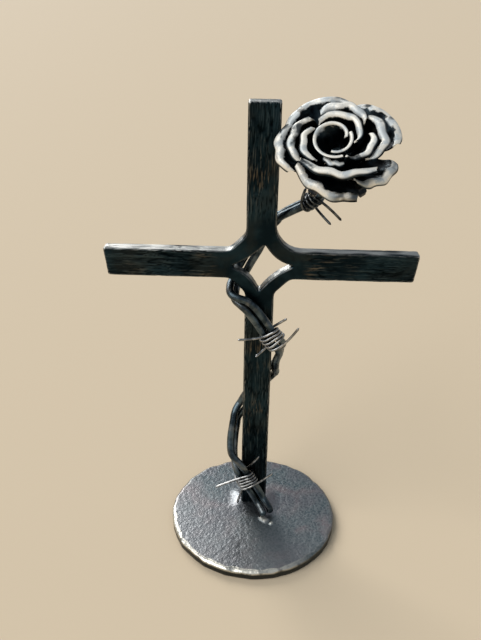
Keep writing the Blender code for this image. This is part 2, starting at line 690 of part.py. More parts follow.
def make_calyx(material):
    height = -(SHEET / 2.0 + FIT_GAP + SEPAL_THICKNESS / 2.0)
    bm = bmesh.new()
    feet = []
    for k in range(SEPAL_COUNT):
        bearing = SEPAL_FIRST_BEARING + 2.0 * math.pi * k / SEPAL_COUNT
        feet.append(add_sheet_rows(bm, sepal_rows(bearing, height))[0])
    add_hub(bm, feet, height)
    obj = add_object("rose_calyx", bm, material, rose_frame())
    thicken(obj, SEPAL_THICKNESS)

    hip = bmesh.new()
    bmesh.ops.create_cone(
        hip, cap_ends=True, segments=HIP_SIDES, radius1=STEM_RADIUS + WIRE_GAP, radius2=HIP_FRONT_RADIUS,
        depth=HIP_LENGTH + SEPAL_THICKNESS / 2.0,
        matrix=Matrix.Translation((0.0, 0.0, HIP_BACK + (HIP_LENGTH + SEPAL_THICKNESS / 2.0) / 2.0)),
    )
    hip_object = add_object("hip_guide", hip, None, rose_frame())
    hip_object.hide_render = True
    hip_object.display_type = "WIRE"
    union = obj.modifiers.new("hip", "BOOLEAN")
    union.operation = "UNION"
    union.object = hip_object
    return obj


def main():
    for obj in list(bpy.data.objects):
        bpy.data.objects.remove(obj, do_unlink=True)

    make_cross(iron("blackened_bar", (0.020, 0.022, 0.022), 0.42, 0.9))
    make_base_plate(iron("hammered_plate", (0.13, 0.14, 0.16), 0.40, 1.0))
    stem = stem_line()
    make_stem(stem, iron("dark_rod", (0.05, 0.055, 0.06), 0.35, 1.0))
    bright = iron("bright_wire", (0.45, 0.45, 0.44), 0.30, 1.0)
    for barb in BARBS:
        make_barb(barb, stem, bright)
    petal_iron = iron("burnished_sheet", (0.30, 0.29, 0.26), 0.38, 1.0)
    for ring in RINGS:
        make_ring(ring, petal_iron)
    make_heart(petal_iron)
    make_calyx(iron("dark_sepals", (0.03, 0.03, 0.035), 0.45, 0.9))


main()
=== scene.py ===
# Wrought iron cross standing on a hammered plate, with a climbing stem, barbed wire and a forged rose.
# The camera has the photograph's viewing angle, and the floor and the light are a plain studio's.
import math
from collections import namedtuple

import bmesh
import bpy
import numpy as np
from mathutils import Matrix, Vector, noise


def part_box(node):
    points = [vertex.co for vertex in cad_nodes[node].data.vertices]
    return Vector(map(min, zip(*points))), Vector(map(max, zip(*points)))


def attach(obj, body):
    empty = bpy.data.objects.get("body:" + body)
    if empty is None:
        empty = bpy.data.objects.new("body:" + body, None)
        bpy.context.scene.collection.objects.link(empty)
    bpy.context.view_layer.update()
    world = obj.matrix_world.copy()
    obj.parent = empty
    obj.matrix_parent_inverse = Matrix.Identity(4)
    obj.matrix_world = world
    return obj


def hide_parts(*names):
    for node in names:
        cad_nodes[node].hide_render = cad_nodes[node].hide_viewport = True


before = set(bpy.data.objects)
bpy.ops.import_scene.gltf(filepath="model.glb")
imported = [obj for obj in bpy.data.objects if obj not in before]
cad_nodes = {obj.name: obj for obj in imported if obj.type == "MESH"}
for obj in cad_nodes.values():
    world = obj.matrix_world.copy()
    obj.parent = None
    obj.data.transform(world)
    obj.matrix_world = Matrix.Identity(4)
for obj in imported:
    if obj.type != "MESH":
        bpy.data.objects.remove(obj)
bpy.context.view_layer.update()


# Base plate: a disc of 9 mm plate, its rim knocked round with the hammer in small flats and its
# whole face hammered, then brushed. It rises a little where the post is welded to it.
# Its rim carries a painted highlight and its face painted light, both strongest at the front left, where
# the light falls.
PLATE_COLUMNS = 480
PLATE_RING_STEP = 0.0011
PLATE_UNDER_EDGE = 0.0008        # rounding of the lower rim
RIM_WALL_SHARES = (0.33, 0.66, 1.0)
RIM_SLOPE_NARROW = 0.0016        # the worn slope round the upper rim, where it is narrowest
RIM_SLOPE_WIDE = 0.0042
RIM_SLOPE_FALL = 0.55            # how far it falls, as a share of its width
RIM_SLOPE_RINGS = 6
RIM_BLOW_SIZE = 0.011            # one hammer blow on the rim
PLATE_DENT = 0.00012             # depth of the hammer's marks
PLATE_DENT_SIZE = 0.0045
FOOT_RISE = 0.0024               # how far the plate is drawn up round the post
FOOT_RISE_REACH = 0.0150
FOOT_RISE_PATCH = 0.012          # size of the unevenness in it
# Weld beads at the stem's foot: place on the plate and reach
WELD_BEADS = ((0.0093, -0.0119, 0.0040), (0.0123, -0.0145, 0.0042), (0.0182, -0.0183, 0.0030))
WELD_BEAD_HEIGHT = 0.0020
LIT_SIDE_TOWARDS = (-0.50, -0.87)    # the front left, where the light falls: the painted highlight on the rim and the painted light on the face are strongest there
BAR_WIDTH = 0.0254               # face of the 1 inch bar that stands on the plate
# brushed grey, laid on more towards the front left as painted light
BRUSHED_AND_LIT_GREY = (0.34, 0.35, 0.36, 1.0)
POLISHED_GREY = (0.36, 0.37, 0.37, 1.0)
WALL_BLACK = (0.045, 0.050, 0.050, 1.0)
# pale colour of the rim's painted highlight and of the bare weld beads
BARE_AND_LIT_RIM = (0.78, 0.75, 0.66, 1.0)


def ripple(points, cell):
    """Smooth noise from -1 to 1 at each point, for cells of that size, or of that size along x, y, z."""
    return np.array([noise.noise(spot) for spot in (np.asarray(points) / np.asarray(cell)).tolist()])


def ease(values):
    """0 to 1 with soft ends."""
    values = np.clip(values, 0.0, 1.0)
    return values * values * (3.0 - 2.0 * values)


def rim_reach(bearings):
    """How far the plate's flat-sided rim is from its middle at each bearing."""
    corners = np.array([vertex.co for vertex in cad_nodes["base_plate"].data.vertices])
    corners = corners[np.abs(corners[:, 2] - PLATE_UNDER_EDGE) < 1e-5]
    corners = np.unique(np.round(corners[:, :2], 6), axis=0)
    corners = corners[np.argsort(np.arctan2(corners[:, 1], corners[:, 0]) % math.tau)]
    starts = np.arctan2(corners[:, 1], corners[:, 0]) % math.tau
    k = np.searchsorted(starts, bearings % math.tau, side="right") - 1
    near = corners[k]
    side = corners[(k + 1) % len(corners)] - near
    way = np.stack([np.cos(bearings), np.sin(bearings)], axis=1)
    across = way[:, 0] * side[:, 1] - way[:, 1] * side[:, 0]
    return (near[:, 0] * side[:, 1] - near[:, 1] * side[:, 0]) / across


def ring_faces(rings, sides):
    """Faces that join rings of points one after another and close the first and the last."""
    faces = []
    for ring in range(rings - 1):
        for c in range(sides):
            a = ring * sides + c
            b = ring * sides + (c + 1) % sides
            faces.append((a, b, b + sides, a + sides))
    faces.append(tuple(range(sides))[::-1])
    faces.append(tuple(range((rings - 1) * sides, rings * sides)))
    return faces


def mesh_object(name, vertices, faces):
    mesh = bpy.data.meshes.new(name)
    mesh.from_pydata(np.asarray(vertices).tolist(), [], faces)
    mesh.update()
    mesh.shade_smooth()
    obj = bpy.data.objects.new(name, mesh)
    bpy.context.scene.collection.objects.link(obj)
    return obj


def note_on_mesh(obj, name, values):
    """Keep one number for each vertex, which a material reads by name."""
    attribute = obj.data.attributes.new(name, "FLOAT", "POINT")
    attribute.data.foreach_set("value", np.asarray(values, np.float32))


def post_distance(x, y):
    """How far a point of the plate is from the post's foot."""
    low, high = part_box("cross")
    out_x = np.maximum(np.abs(x) - BAR_WIDTH / 2.0, 0.0)
    out_y = np.maximum(np.maximum(low.y - y, y - high.y), 0.0)
    return np.hypot(out_x, out_y)


plate_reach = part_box("base_plate")[1].x
plate_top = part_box("base_plate")[1].z
bearings = np.arange(PLATE_COLUMNS) * math.tau / PLATE_COLUMNS
reach = rim_reach(bearings)
circle = np.stack([np.cos(bearings), np.sin(bearings), np.zeros(PLATE_COLUMNS)], axis=1)
blows = np.clip(0.5 + 0.9 * ripple(circle * plate_reach, RIM_BLOW_SIZE), 0.0, 1.0)
rim_slope = RIM_SLOPE_NARROW + (RIM_SLOPE_WIDE - RIM_SLOPE_NARROW) * blows
plate_rings = [
    (reach - PLATE_UNDER_EDGE, np.zeros(PLATE_COLUMNS)),
    (reach, np.full(PLATE_COLUMNS, PLATE_UNDER_EDGE)),
]
wall_top = plate_top - RIM_SLOPE_FALL * rim_slope
for share in RIM_WALL_SHARES:
    plate_rings.append((reach, PLATE_UNDER_EDGE + (wall_top - PLATE_UNDER_EDGE) * share))
wall_rings = len(plate_rings)
for k in range(1, RIM_SLOPE_RINGS + 1):
    share = k / RIM_SLOPE_RINGS
    fall = RIM_SLOPE_FALL * rim_slope * (1.0 - math.sin(math.pi / 2.0 * share))
    plate_rings.append((reach - rim_slope * share, plate_top - fall))
slope_end = len(plate_rings)
face_edge = reach - rim_slope
face_rings = int(plate_reach / PLATE_RING_STEP)
for k in range(1, face_rings):
    plate_rings.append((face_edge * (1.0 - k / face_rings), np.full(PLATE_COLUMNS, plate_top)))
plate_points = np.concatenate([
    np.stack([radius * circle[:, 0], radius * circle[:, 1], height], axis=1)
    for radius, height in plate_rings
])
ring_of_point = np.arange(len(plate_points)) // PLATE_COLUMNS
on_face = ring_of_point >= slope_end - 2
bead = np.zeros(len(plate_points))
for bead_x, bead_y, bead_reach in WELD_BEADS:
    from_bead = np.hypot(plate_points[:, 0] - bead_x, plate_points[:, 1] - bead_y)
    bead = np.maximum(bead, 1.0 - ease(from_bead / bead_reach))
dents = ripple(plate_points, PLATE_DENT_SIZE)
dents += 0.6 * ripple(plate_points + 3.0, 0.5 * PLATE_DENT_SIZE)
plate_points[:, 2] -= on_face * PLATE_DENT * np.clip(0.6 + dents, 0.0, 1.6)
foot_near = 1.0 - ease(post_distance(plate_points[:, 0], plate_points[:, 1]) / FOOT_RISE_REACH)
uneven = 0.8 + 0.5 * ripple(plate_points, FOOT_RISE_PATCH)
plate_points[:, 2] += on_face * (FOOT_RISE * foot_near**1.5 * uneven + WELD_BEAD_HEIGHT * np.sqrt(bead))
plate_faces = ring_faces(len(plate_rings), PLATE_COLUMNS)
base_plate = mesh_object("hammered_base_plate", plate_points, plate_faces)
base_plate.data.set_sharp_from_angle(angle=math.radians(50.0))
on_slope = (ring_of_point >= wall_rings - 1) & (ring_of_point < slope_end)
# Painted highlight on the rim's slope: a little all round and most at the front left, where the light
# falls
towards_lit_side = plate_points[:, :2] @ np.array(LIT_SIDE_TOWARDS) / reach.max()
rim_wear_and_highlight = on_slope * (0.12 + 0.88 * ease((towards_lit_side - 0.25) / 0.5))
note_on_mesh(base_plate, "rim_wear_and_highlight", rim_wear_and_highlight)
note_on_mesh(base_plate, "bead", bead)
# Painted light: the face gets more brushed grey towards the front left, where the light falls, and less
# towards the back right
note_on_mesh(base_plate, "brushed", on_face * ease(0.35 + 0.75 * towards_lit_side))
note_on_mesh(base_plate, "wall", ring_of_point < wall_rings)


def new_group(name, inputs, outputs):
    """A shader node group with named inputs (name, kind, value) and outputs (name, kind)."""
    group = bpy.data.node_groups.new(name, "ShaderNodeTree")
    for socket_name, kind, value in inputs:
        socket = group.interface.new_socket(socket_name, in_out="INPUT", socket_type=kind)
        socket.default_value = value
    for socket_name, kind in outputs:
        group.interface.new_socket(socket_name, in_out="OUTPUT", socket_type=kind)
    return group


def place(tree, kind, settings=None, **inputs):
    """Add a node and set or link its inputs: by name, with underscores for spaces, or as i0 by number."""
    node = tree.nodes.new(kind)
    for name, value in (settings or {}).items():
        setattr(node, name, value)
    for name, value in inputs.items():
        numbered = name[0] == "i" and name[1:].isdigit()
        socket = node.inputs[int(name[1:]) if numbered else name.replace("_", " ")]
        if isinstance(value, bpy.types.NodeSocket):
            tree.links.new(value, socket)
        else:
            socket.default_value = value
    return node


def reckon(tree, operation, a, b, clamp=False):
    """What an operation makes of two numbers, such as their sum or product."""
    settings = {"operation": operation, "use_clamp": clamp}
    return place(tree, "ShaderNodeMath", settings, i0=a, i1=b).outputs[0]


def between(tree, value, low, high, to_low=0.0, to_high=1.0):
    """Spread the numbers from low to high over another range, with soft ends."""
    return place(
        tree, "ShaderNodeMapRange", {"interpolation_type": "SMOOTHSTEP"},
        i0=value, i1=low, i2=high, i3=to_low, i4=to_high,
    ).outputs[0]


def mixed(tree, share, first, second):
    """One colour laid over another."""
    settings = {"data_type": "RGBA"}
    return place(tree, "ShaderNodeMix", settings, i0=share, i6=first, i7=second).outputs[2]


def clouds(tree, per_metre, detail, roughness=0.5, distortion=0.0, stretched=None):
    """Noise over the piece's own space, or over that space stretched."""
    spot = stretched or place(tree, "ShaderNodeTexCoord").outputs["Object"]
    return place(
        tree, "ShaderNodeTexNoise", Vector=spot, Scale=per_metre, Detail=detail, Roughness=roughness,
        Distortion=distortion,
    )


def forge_skin_group():
    """Cloudy colour of iron from the fire: a dark skin, a cooler tint and scale, and its unevenness."""
    group = new_group(
        "Forge skin",
        [
            ("Dark", "NodeSocketColor", (0.01, 0.01, 0.01, 1.0)),
            ("Tint", "NodeSocketColor", (0.02, 0.03, 0.035, 1.0)),
            ("Scale colour", "NodeSocketColor", (0.06, 0.04, 0.02, 1.0)),
            ("Scale share", "NodeSocketFloat", 0.5),
            ("Clouds per metre", "NodeSocketFloat", 40.0),
            ("Grit per metre", "NodeSocketFloat", 900.0),
        ],
        [("Colour", "NodeSocketColor"), ("Cloud", "NodeSocketFloat"), ("Grit", "NodeSocketFloat")],
    )
    start = group.nodes.new("NodeGroupInput").outputs
    per_metre = start["Clouds per metre"]
    cloud = clouds(group, per_metre, detail=4.0, roughness=0.6).outputs["Fac"]
    patch = clouds(group, per_metre, detail=6.0, distortion=0.8).outputs["Color"]
    grit = clouds(group, start["Grit per metre"], detail=3.0, roughness=0.7).outputs["Fac"]
    tinted = mixed(group, between(group, cloud, 0.40, 0.62), start["Dark"], start["Tint"])
    scaled = reckon(group, "MULTIPLY", between(group, patch, 0.48, 0.62), start["Scale share"])
    coloured = mixed(group, scaled, tinted, start["Scale colour"])
    place(group, "NodeGroupOutput", Colour=coloured, Cloud=cloud, Grit=grit)
    return group


def worn_edges_group():
    """Where iron is rubbed bright: its raised edges, broken up by noise."""
    group = new_group(
        "Worn edges",
        [
            ("Start", "NodeSocketFloat", 0.52),
            ("Full", "NodeSocketFloat", 0.60),
            ("Breaks per metre", "NodeSocketFloat", 300.0),
            ("Break share", "NodeSocketFloat", 0.6),
        ],
        [("Wear", "NodeSocketFloat")],
    )
    start = group.nodes.new("NodeGroupInput").outputs
    raised = place(group, "ShaderNodeNewGeometry").outputs["Pointiness"]
    breaks = clouds(group, start["Breaks per metre"], detail=3.0).outputs["Fac"]
    edge = between(group, raised, start["Start"], start["Full"])
    broken = reckon(group, "MULTIPLY", between(group, breaks, 0.42, 0.62), start["Break share"])
    kept = reckon(group, "SUBTRACT", 1.0, broken)
    place(group, "NodeGroupOutput", Wear=reckon(group, "MULTIPLY", edge, kept, clamp=True))
    return group


forge_skin = forge_skin_group()
worn_edges = worn_edges_group()


def iron_finish(name, metallic, roughness):
    """A new material with its own shader, whose plain settings are the same all over."""
    material = bpy.data.materials.new(name)
    material.use_nodes = True
    shader = material.node_tree.nodes["Principled BSDF"]
    shader.inputs["Metallic"].default_value = metallic
    shader.inputs["Roughness"].default_value = roughness
    return material, material.node_tree, shader


def use_group(tree, group, **inputs):
    return place(tree, "ShaderNodeGroup", {"node_tree": group}, **inputs)


def vertex_note(tree, name):
    return place(tree, "ShaderNodeAttribute", {"attribute_name": name}).outputs["Fac"]


def cloudy(tree, skin, smooth, rough):
    """Roughness that drifts with the clouds of a forge skin."""
    return between(tree, skin.outputs["Cloud"], 0.3, 0.7, smooth, rough)


def dress(tree, shader, colour, roughness, relief, strength, depth):
    """Link a surface's colour, roughness and relief to its shader."""
    tree.links.new(colour, shader.inputs["Base Color"])
    tree.links.new(roughness, shader.inputs["Roughness"])
    bump = place(tree, "ShaderNodeBump", Strength=strength, Distance=depth, Height=relief)
    tree.links.new(bump.outputs["Normal"], shader.inputs["Normal"])


def hammered_steel():
    """Brushed hammered plate: blue-grey with green and violet heat tints, lighter towards the front left
    as painted light, pale on its rim with a little wear all round and a painted highlight at the front
    left.
    """
    material, tree, shader = iron_finish("hammered_plate_steel", 1.0, 0.4)
    skin = use_group(
        tree, forge_skin, Dark=(0.15, 0.16, 0.18, 1.0), Tint=(0.075, 0.11, 0.125, 1.0),
        Scale_colour=(0.22, 0.17, 0.18, 1.0), Scale_share=0.8, Clouds_per_metre=20.0,
        Grit_per_metre=700.0,
    )
    spot = place(tree, "ShaderNodeTexCoord").outputs["Object"]
    bend = clouds(tree, 260.0, detail=2.0).outputs["Color"]
    bent = place(tree, "ShaderNodeMix", {"data_type": "VECTOR"}, i0=0.0035, i4=spot, i5=bend).outputs[1]
    marks = place(
        tree, "ShaderNodeTexVoronoi", {"feature": "SMOOTH_F1"}, Vector=bent, Scale=430.0, Smoothness=0.5,
    ).outputs["Distance"]
    fine = clouds(tree, 620.0, detail=4.0, distortion=0.6).outputs["Fac"]
    relief = reckon(tree, "ADD", marks, reckon(tree, "MULTIPLY", fine, 0.8))
    raised = between(tree, relief, 0.55, 1.05)
    # Painted light: brushed grey, more of it towards the front left
    brushed_and_lit_share = reckon(tree, "MULTIPLY", vertex_note(tree, "brushed"), 0.55)
    brushed = mixed(tree, brushed_and_lit_share, skin.outputs["Colour"], BRUSHED_AND_LIT_GREY)
    polished = mixed(tree, reckon(tree, "MULTIPLY", raised, 0.35), brushed, POLISHED_GREY)
    walled = mixed(tree, vertex_note(tree, "wall"), polished, WALL_BLACK)
    # Painted highlight on the rim, broken by noise, and the pale weld beads
    rim_breaks = between(tree, clouds(tree, 150.0, detail=4.0).outputs["Fac"], 0.34, 0.52, 0.35, 1.0)
    rim_shown = reckon(tree, "MULTIPLY", vertex_note(tree, "rim_wear_and_highlight"), rim_breaks)
    worn = reckon(tree, "MAXIMUM", rim_shown, vertex_note(tree, "bead"), clamp=True)
    coloured = mixed(tree, worn, walled, BARE_AND_LIT_RIM)
    dress(tree, shader, coloured, cloudy(tree, skin, 0.32, 0.46), relief, strength=0.28, depth=0.0005)
    return material


base_plate.data.materials.append(hammered_steel())
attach(base_plate, "root")
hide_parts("base_plate")


# Cross: one square bar, slit both ways and opened over the horn into a diamond, then textured along
# its grain with a chisel and left black from the fire, rubbed bright on its edges.
# Its upward faces carry a painted highlight, in streaks and strongest on the left, where the light falls.
TOP_ABOVE_ARMS = 0.134           # the post's top above the middle of the side arms
ARM_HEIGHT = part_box("cross")[1].z - TOP_ABOVE_ARMS
CROSS_VOXEL = 0.0008
CROSS_SMOOTHING = 3
GRAIN_LENGTH = 0.0240            # one groove from end to end
GRAIN_ACROSS = 0.0024            # from one groove to the next across a face,
GRAIN_BACK = 0.00312             # and from front to back
GRAIN_DEPTH = 0.00030
GROOVE_SHARE = 0.16              # half a groove's width, as a share of the way to the next
GRAIN_WANDER = 0.0016            # how far a groove strays sideways
GRAIN_WANDER_SIZE = 0.011
GRAIN_PATCH_SIZE = 0.030         # patches where the grooves are cut deeper
BAR_WAVE = 0.00035               # how far the hammer has moved the faces
BAR_WAVE_SIZE = 0.016
# Where the black is rubbed through to brown: from the crossing to the right and up, and how far
BROWN_PLACES = (
    (-0.048, 0.000, 0.034), (0.038, -0.003, 0.030), (0.062, -0.002, 0.032), (0.0, 0.075, 0.040),
    (0.0, -0.085, 0.030), (0.0, -0.150, 0.045), (-0.105, -0.002, 0.016),
)
PLAIN_CROSSING = 0.034           # the opened bars round the diamond have no chisel grain
CHISEL_FADE = 0.012
TOP_HIGHLIGHT_STREAK = (0.020, 0.004, 0.004)   # a streak of painted highlight on a top face, along x, y, z
BROWN_PATCH_SIZE = 0.012
RUBBED_BLUE = (0.075, 0.115, 0.130, 1.0)
RUBBED_BROWN = (0.18, 0.14, 0.092, 1.0)
GROOVE_BLACK = (0.001, 0.003, 0.004, 1.0)
# pale colour of the rubbed edges and of the painted highlight on the upward faces
BARE_EDGE_AND_TOP_HIGHLIGHT = (0.66, 0.66, 0.63, 1.0)


def fine_copy(name, node, voxel, smoothing):
    """An even, dense mesh over a CAD solid."""
    mesh = cad_nodes[node].data.copy()
    welded = bmesh.new()
    welded.from_mesh(mesh)
    bmesh.ops.remove_doubles(welded, verts=welded.verts, dist=1e-6)
    welded.to_mesh(mesh)
    welded.free()
    mesh.materials.clear()
    obj = bpy.data.objects.new(name, mesh)
    bpy.context.scene.collection.objects.link(obj)
    even = obj.modifiers.new("even", "REMESH")
    even.mode = "VOXEL"
    even.voxel_size = voxel
    soft = obj.modifiers.new("soft", "SMOOTH")
    soft.iterations = smoothing
    soft.factor = 0.5
    view = bpy.context.evaluated_depsgraph_get()
    dense = bpy.data.meshes.new_from_object(obj.evaluated_get(view))
    obj.modifiers.clear()
    obj.data = dense
    dense.shade_smooth()
    return obj


def of_vertices(obj, kind):
    """Every vertex's place ("co") or the way out of the surface there ("normal")."""
    values = np.empty(len(obj.data.vertices) * 3, np.float32)
    obj.data.vertices.foreach_get(kind, values)
    return values.reshape(-1, 3).astype(float)


def move_points(obj, points):
    obj.data.vertices.foreach_set("co", np.asarray(points, np.float32).ravel())
    obj.data.update()


cross = fine_copy("split_cross", "cross", CROSS_VOXEL, CROSS_SMOOTHING)
cross_points = of_vertices(cross, "co")
cross_normals = of_vertices(cross, "normal")
from_crossing = cross_points - np.array([0.0, 0.0, ARM_HEIGHT])
on_side_arm = np.abs(from_crossing[:, 0]) > np.abs(from_crossing[:, 2])
wander = GRAIN_WANDER * np.stack(
    [ripple(cross_points + shift, GRAIN_WANDER_SIZE) for shift in (5.0, 7.0, 9.0)], axis=1,
)
side_grain = ripple(cross_points + wander, (GRAIN_LENGTH, GRAIN_BACK, GRAIN_ACROSS))
post_grain = ripple(cross_points + wander, (GRAIN_ACROSS, GRAIN_BACK, GRAIN_LENGTH))
grain_line = np.where(on_side_arm, side_grain, post_grain)
groove = np.clip(1.0 - np.abs(grain_line) / GROOVE_SHARE, 0.0, 1.0)
out_of_crossing = np.max(np.abs(from_crossing[:, [0, 2]]), axis=1)
chiselled = ease((out_of_crossing - PLAIN_CROSSING) / CHISEL_FADE)
patchy = 0.45 + 0.55 * ease(0.5 + 1.6 * ripple(cross_points, GRAIN_PATCH_SIZE))
groove *= chiselled * patchy
wave = 0.5 + 0.5 * ripple(cross_points + 11.0, BAR_WAVE_SIZE)
move_points(cross, cross_points - cross_normals * (GRAIN_DEPTH * groove + BAR_WAVE * wave)[:, None])
note_on_mesh(cross, "groove", groove)
note_on_mesh(cross, "chiselled", chiselled)
note_on_mesh(cross, "side_arm", on_side_arm)
# Painted highlight on the upward faces, in streaks, strongest on the left arm, where the light falls
upward = ease((of_vertices(cross, "normal")[:, 2] - 0.55) / 0.35)
streaked = ease(0.75 + 1.2 * ripple(cross_points, TOP_HIGHLIGHT_STREAK))
left_share = 0.75 + 0.25 * ease(0.5 - cross_points[:, 0] / 0.02)
note_on_mesh(cross, "top_highlight", upward * streaked * left_share)
brown = np.zeros(len(cross_points))
for brown_x, brown_z, brown_reach in BROWN_PLACES:
    off_place = np.hypot(cross_points[:, 0] - brown_x, from_crossing[:, 2] - brown_z)
    brown = np.maximum(brown, 1.0 - ease(off_place / brown_reach))
note_on_mesh(cross, "brown", brown * ease(0.65 + 1.2 * ripple(cross_points, BROWN_PATCH_SIZE)))


def forge_black():
    """Black iron with a blue-green cast, brown where the grain is rubbed and bright on its edges, with a
    painted highlight on its upward faces.
    """
    material, tree, shader = iron_finish("forge_black_bar", 1.0, 0.4)
    skin = use_group(
        tree, forge_skin, Dark=(0.006, 0.013, 0.018, 1.0), Tint=(0.016, 0.034, 0.044, 1.0),
        Scale_colour=(0.030, 0.032, 0.028, 1.0), Scale_share=0.4, Clouds_per_metre=26.0,
        Grit_per_metre=1100.0,
    )
    spot = place(tree, "ShaderNodeTexCoord").outputs["Object"]
    flat = place(tree, "ShaderNodeMapping", Vector=spot, Scale=(55.0, 600.0, 760.0)).outputs[0]
    tall = place(tree, "ShaderNodeMapping", Vector=spot, Scale=(760.0, 600.0, 55.0)).outputs[0]
    flat_grain = clouds(tree, 1.0, detail=4.0, distortion=0.9, stretched=flat).outputs["Fac"]
    tall_grain = clouds(tree, 1.0, detail=4.0, distortion=0.9, stretched=tall).outputs["Fac"]
    grain = place(
        tree, "ShaderNodeMix", {"data_type": "FLOAT"}, i0=vertex_note(tree, "side_arm"),
        i2=tall_grain, i3=flat_grain,
    ).outputs[0]
    ridge = reckon(tree, "MULTIPLY", between(tree, grain, 0.48, 0.68), vertex_note(tree, "chiselled"))
    ridge = reckon(tree, "MULTIPLY", ridge, reckon(tree, "SUBTRACT", 1.0, vertex_note(tree, "groove")))
    brown = vertex_note(tree, "brown")
    ridge_colour = mixed(tree, brown, RUBBED_BLUE, RUBBED_BROWN)
    shown = reckon(tree, "ADD", 0.40, reckon(tree, "MULTIPLY", brown, 0.35))
    rubbed = mixed(tree, reckon(tree, "MULTIPLY", ridge, shown), skin.outputs["Colour"], ridge_colour)
    deep = mixed(tree, vertex_note(tree, "groove"), rubbed, GROOVE_BLACK)
    wear = use_group(tree, worn_edges, Start=0.512, Full=0.56, Breaks_per_metre=180.0, Break_share=0.6)
    # Rubbed edges, and the painted highlight on the upward faces
    wear = reckon(tree, "MAXIMUM", wear.outputs["Wear"], vertex_note(tree, "top_highlight"))
    coloured = mixed(tree, reckon(tree, "MULTIPLY", wear, 0.85), deep, BARE_EDGE_AND_TOP_HIGHLIGHT)
    relief = reckon(
        tree, "ADD", reckon(tree, "MULTIPLY", grain, vertex_note(tree, "chiselled")),
        reckon(tree, "MULTIPLY", skin.outputs["Grit"], 0.35),
    )
    dress(tree, shader, coloured, cloudy(tree, skin, 0.28, 0.44), relief, strength=0.8, depth=0.0006)
    return material


cross.data.materials.append(forge_black())
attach(cross, "root")
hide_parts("cross")


# Stem: two round rods forged side by side, bent hot round the post like a ribbon and up through the
# crossing to the rose. They are welded to the plate at their feet and left dark and smooth.
ROD_RADIUS = 0.0035
ROD_GAP = 0.0003                 # clearance between pieces that touch
ROD_SIDES = 24
ROD_END_ROUNDING = 0.0012
STEM_STEP = 0.0015
CURVE_STEPS = 24                 # straight steps between two given points of the stem
STEM_DENT = 0.04                 # share of the radius that the hammer takes off here and there
STEM_DENT_SIZE = 0.006
STEM_CORNERING = 5.0             # how squarely the stem follows the post's corners
BAR_DEPTH = 0.0127
POST_SETBACK = 0.015             # the post stands this far behind the plate's middle
# Height as a share of the arms' height, degrees round the post, distance off the iron, pair's angle
STEM_ROUTE = (
    (0.083, -66.0, 0.0040, 90.0), (0.127, -89.0, 0.0042, 90.0), (0.168, -115.0, 0.0042, 90.0),
    (0.225, -138.0, 0.0040, 80.0), (0.270, -161.0, 0.0050, 68.0), (0.314, -176.0, 0.0056, 60.0),
    (0.362, -190.0, 0.0042, 58.0), (0.402, -205.0, 0.0025, 66.0), (0.438, -223.0, 0.0017, 78.0),
    (0.474, -238.0, 0.0018, 90.0), (0.508, -262.0, 0.0011, 90.0), (0.546, -296.0, 0.0010, 90.0),
    (0.575, -318.0, 0.0010, 90.0), (0.605, -335.0, 0.0008, 90.0), (0.630, -350.0, 0.0009, 84.0),
    (0.660, -362.0, 0.0021, 70.0), (0.694, -374.0, 0.0036, 78.0), (0.729, -392.0, 0.0050, 90.0),
    (0.771, -415.0, 0.0048, 90.0), (0.827, -450.0, 0.0038, 88.0), (0.872, -484.0, 0.0045, 80.0),
    (0.895, -515.0, 0.0062, 62.0), (0.906, -540.0, 0.0070, 50.0), (0.913, -558.0, 0.0062, 55.0),
    (0.930, -571.0, 0.0050, 65.0), (0.962, -580.0, 0.0036, 72.0), (0.990, -588.0, 0.0028, 75.0),
    (1.030, -606.0, 0.0024, 74.0), (1.063, -626.0, 0.0026, 52.0), (1.105, -652.0, 0.0036, 28.0),
    (1.140, -680.0, 0.0040, 10.0),
)
# Foot of the stem: place on the plate, height above it and the pair's angle
STEM_FOOT = ((0.0146, -0.0092, 0.0034, 130.0), (0.0118, -0.0053, 0.0078, 112.0))
# Where it leaves the cross for the rose: from the post's right front edge and the arms' middle
STEM_TO_ROSE = ((0.0114, 0.0144, 0.0448), (0.0223, 0.0094, 0.0522), (0.0321, 0.0044, 0.0603))
ROSE_TILT = math.radians(45.0)   # how far the rose looks up
ROSE_TURN = math.radians(8.0)    # how far it looks to the left
ROSE_SIDE_REACH = 0.0430         # its middle to the right of the upper arm, in front and above
ROSE_FRONT_REACH = 0.0190
ROSE_RISE = 0.0978
SHEET = 0.0014                   # thickness of the petals
SEPAL_THICKNESS = 0.0020
HIP_LENGTH = 0.0100
# How far behind the rose's middle the stem ends
HIP_BACK = -(SHEET / 2.0 + ROD_GAP + SEPAL_THICKNESS + HIP_LENGTH)


def rose_frame():
    """The rose's own axes: to its right, up its face, and out of it towards the viewer."""
    facing = Vector((
        -math.sin(ROSE_TURN) * math.cos(ROSE_TILT), -math.cos(ROSE_TURN) * math.cos(ROSE_TILT),
        math.sin(ROSE_TILT),
    ))
    right = Vector((math.cos(ROSE_TURN), -math.sin(ROSE_TURN), 0.0))
    middle = Vector((
        BAR_WIDTH / 2.0 + ROSE_SIDE_REACH, POST_SETBACK - BAR_DEPTH / 2.0 - ROSE_FRONT_REACH,
        ARM_HEIGHT + ROSE_RISE,
    ))
    return Matrix.Translation(middle) @ Matrix((right, facing.cross(right), facing)).transposed().to_4x4()


def beside_post(height, degrees, stand_off):
    """A point of the stem's middle line, clear of the post's faces and corners."""
    bearing = math.radians(degrees)
    across = abs(math.cos(bearing)) / (BAR_WIDTH / 2.0 + stand_off + ROD_RADIUS)
    along = abs(math.sin(bearing)) / (BAR_DEPTH / 2.0 + stand_off + ROD_RADIUS)
    reach = (across**STEM_CORNERING + along**STEM_CORNERING) ** (-1.0 / STEM_CORNERING)
    return Vector((reach * math.cos(bearing), POST_SETBACK + reach * math.sin(bearing), height))


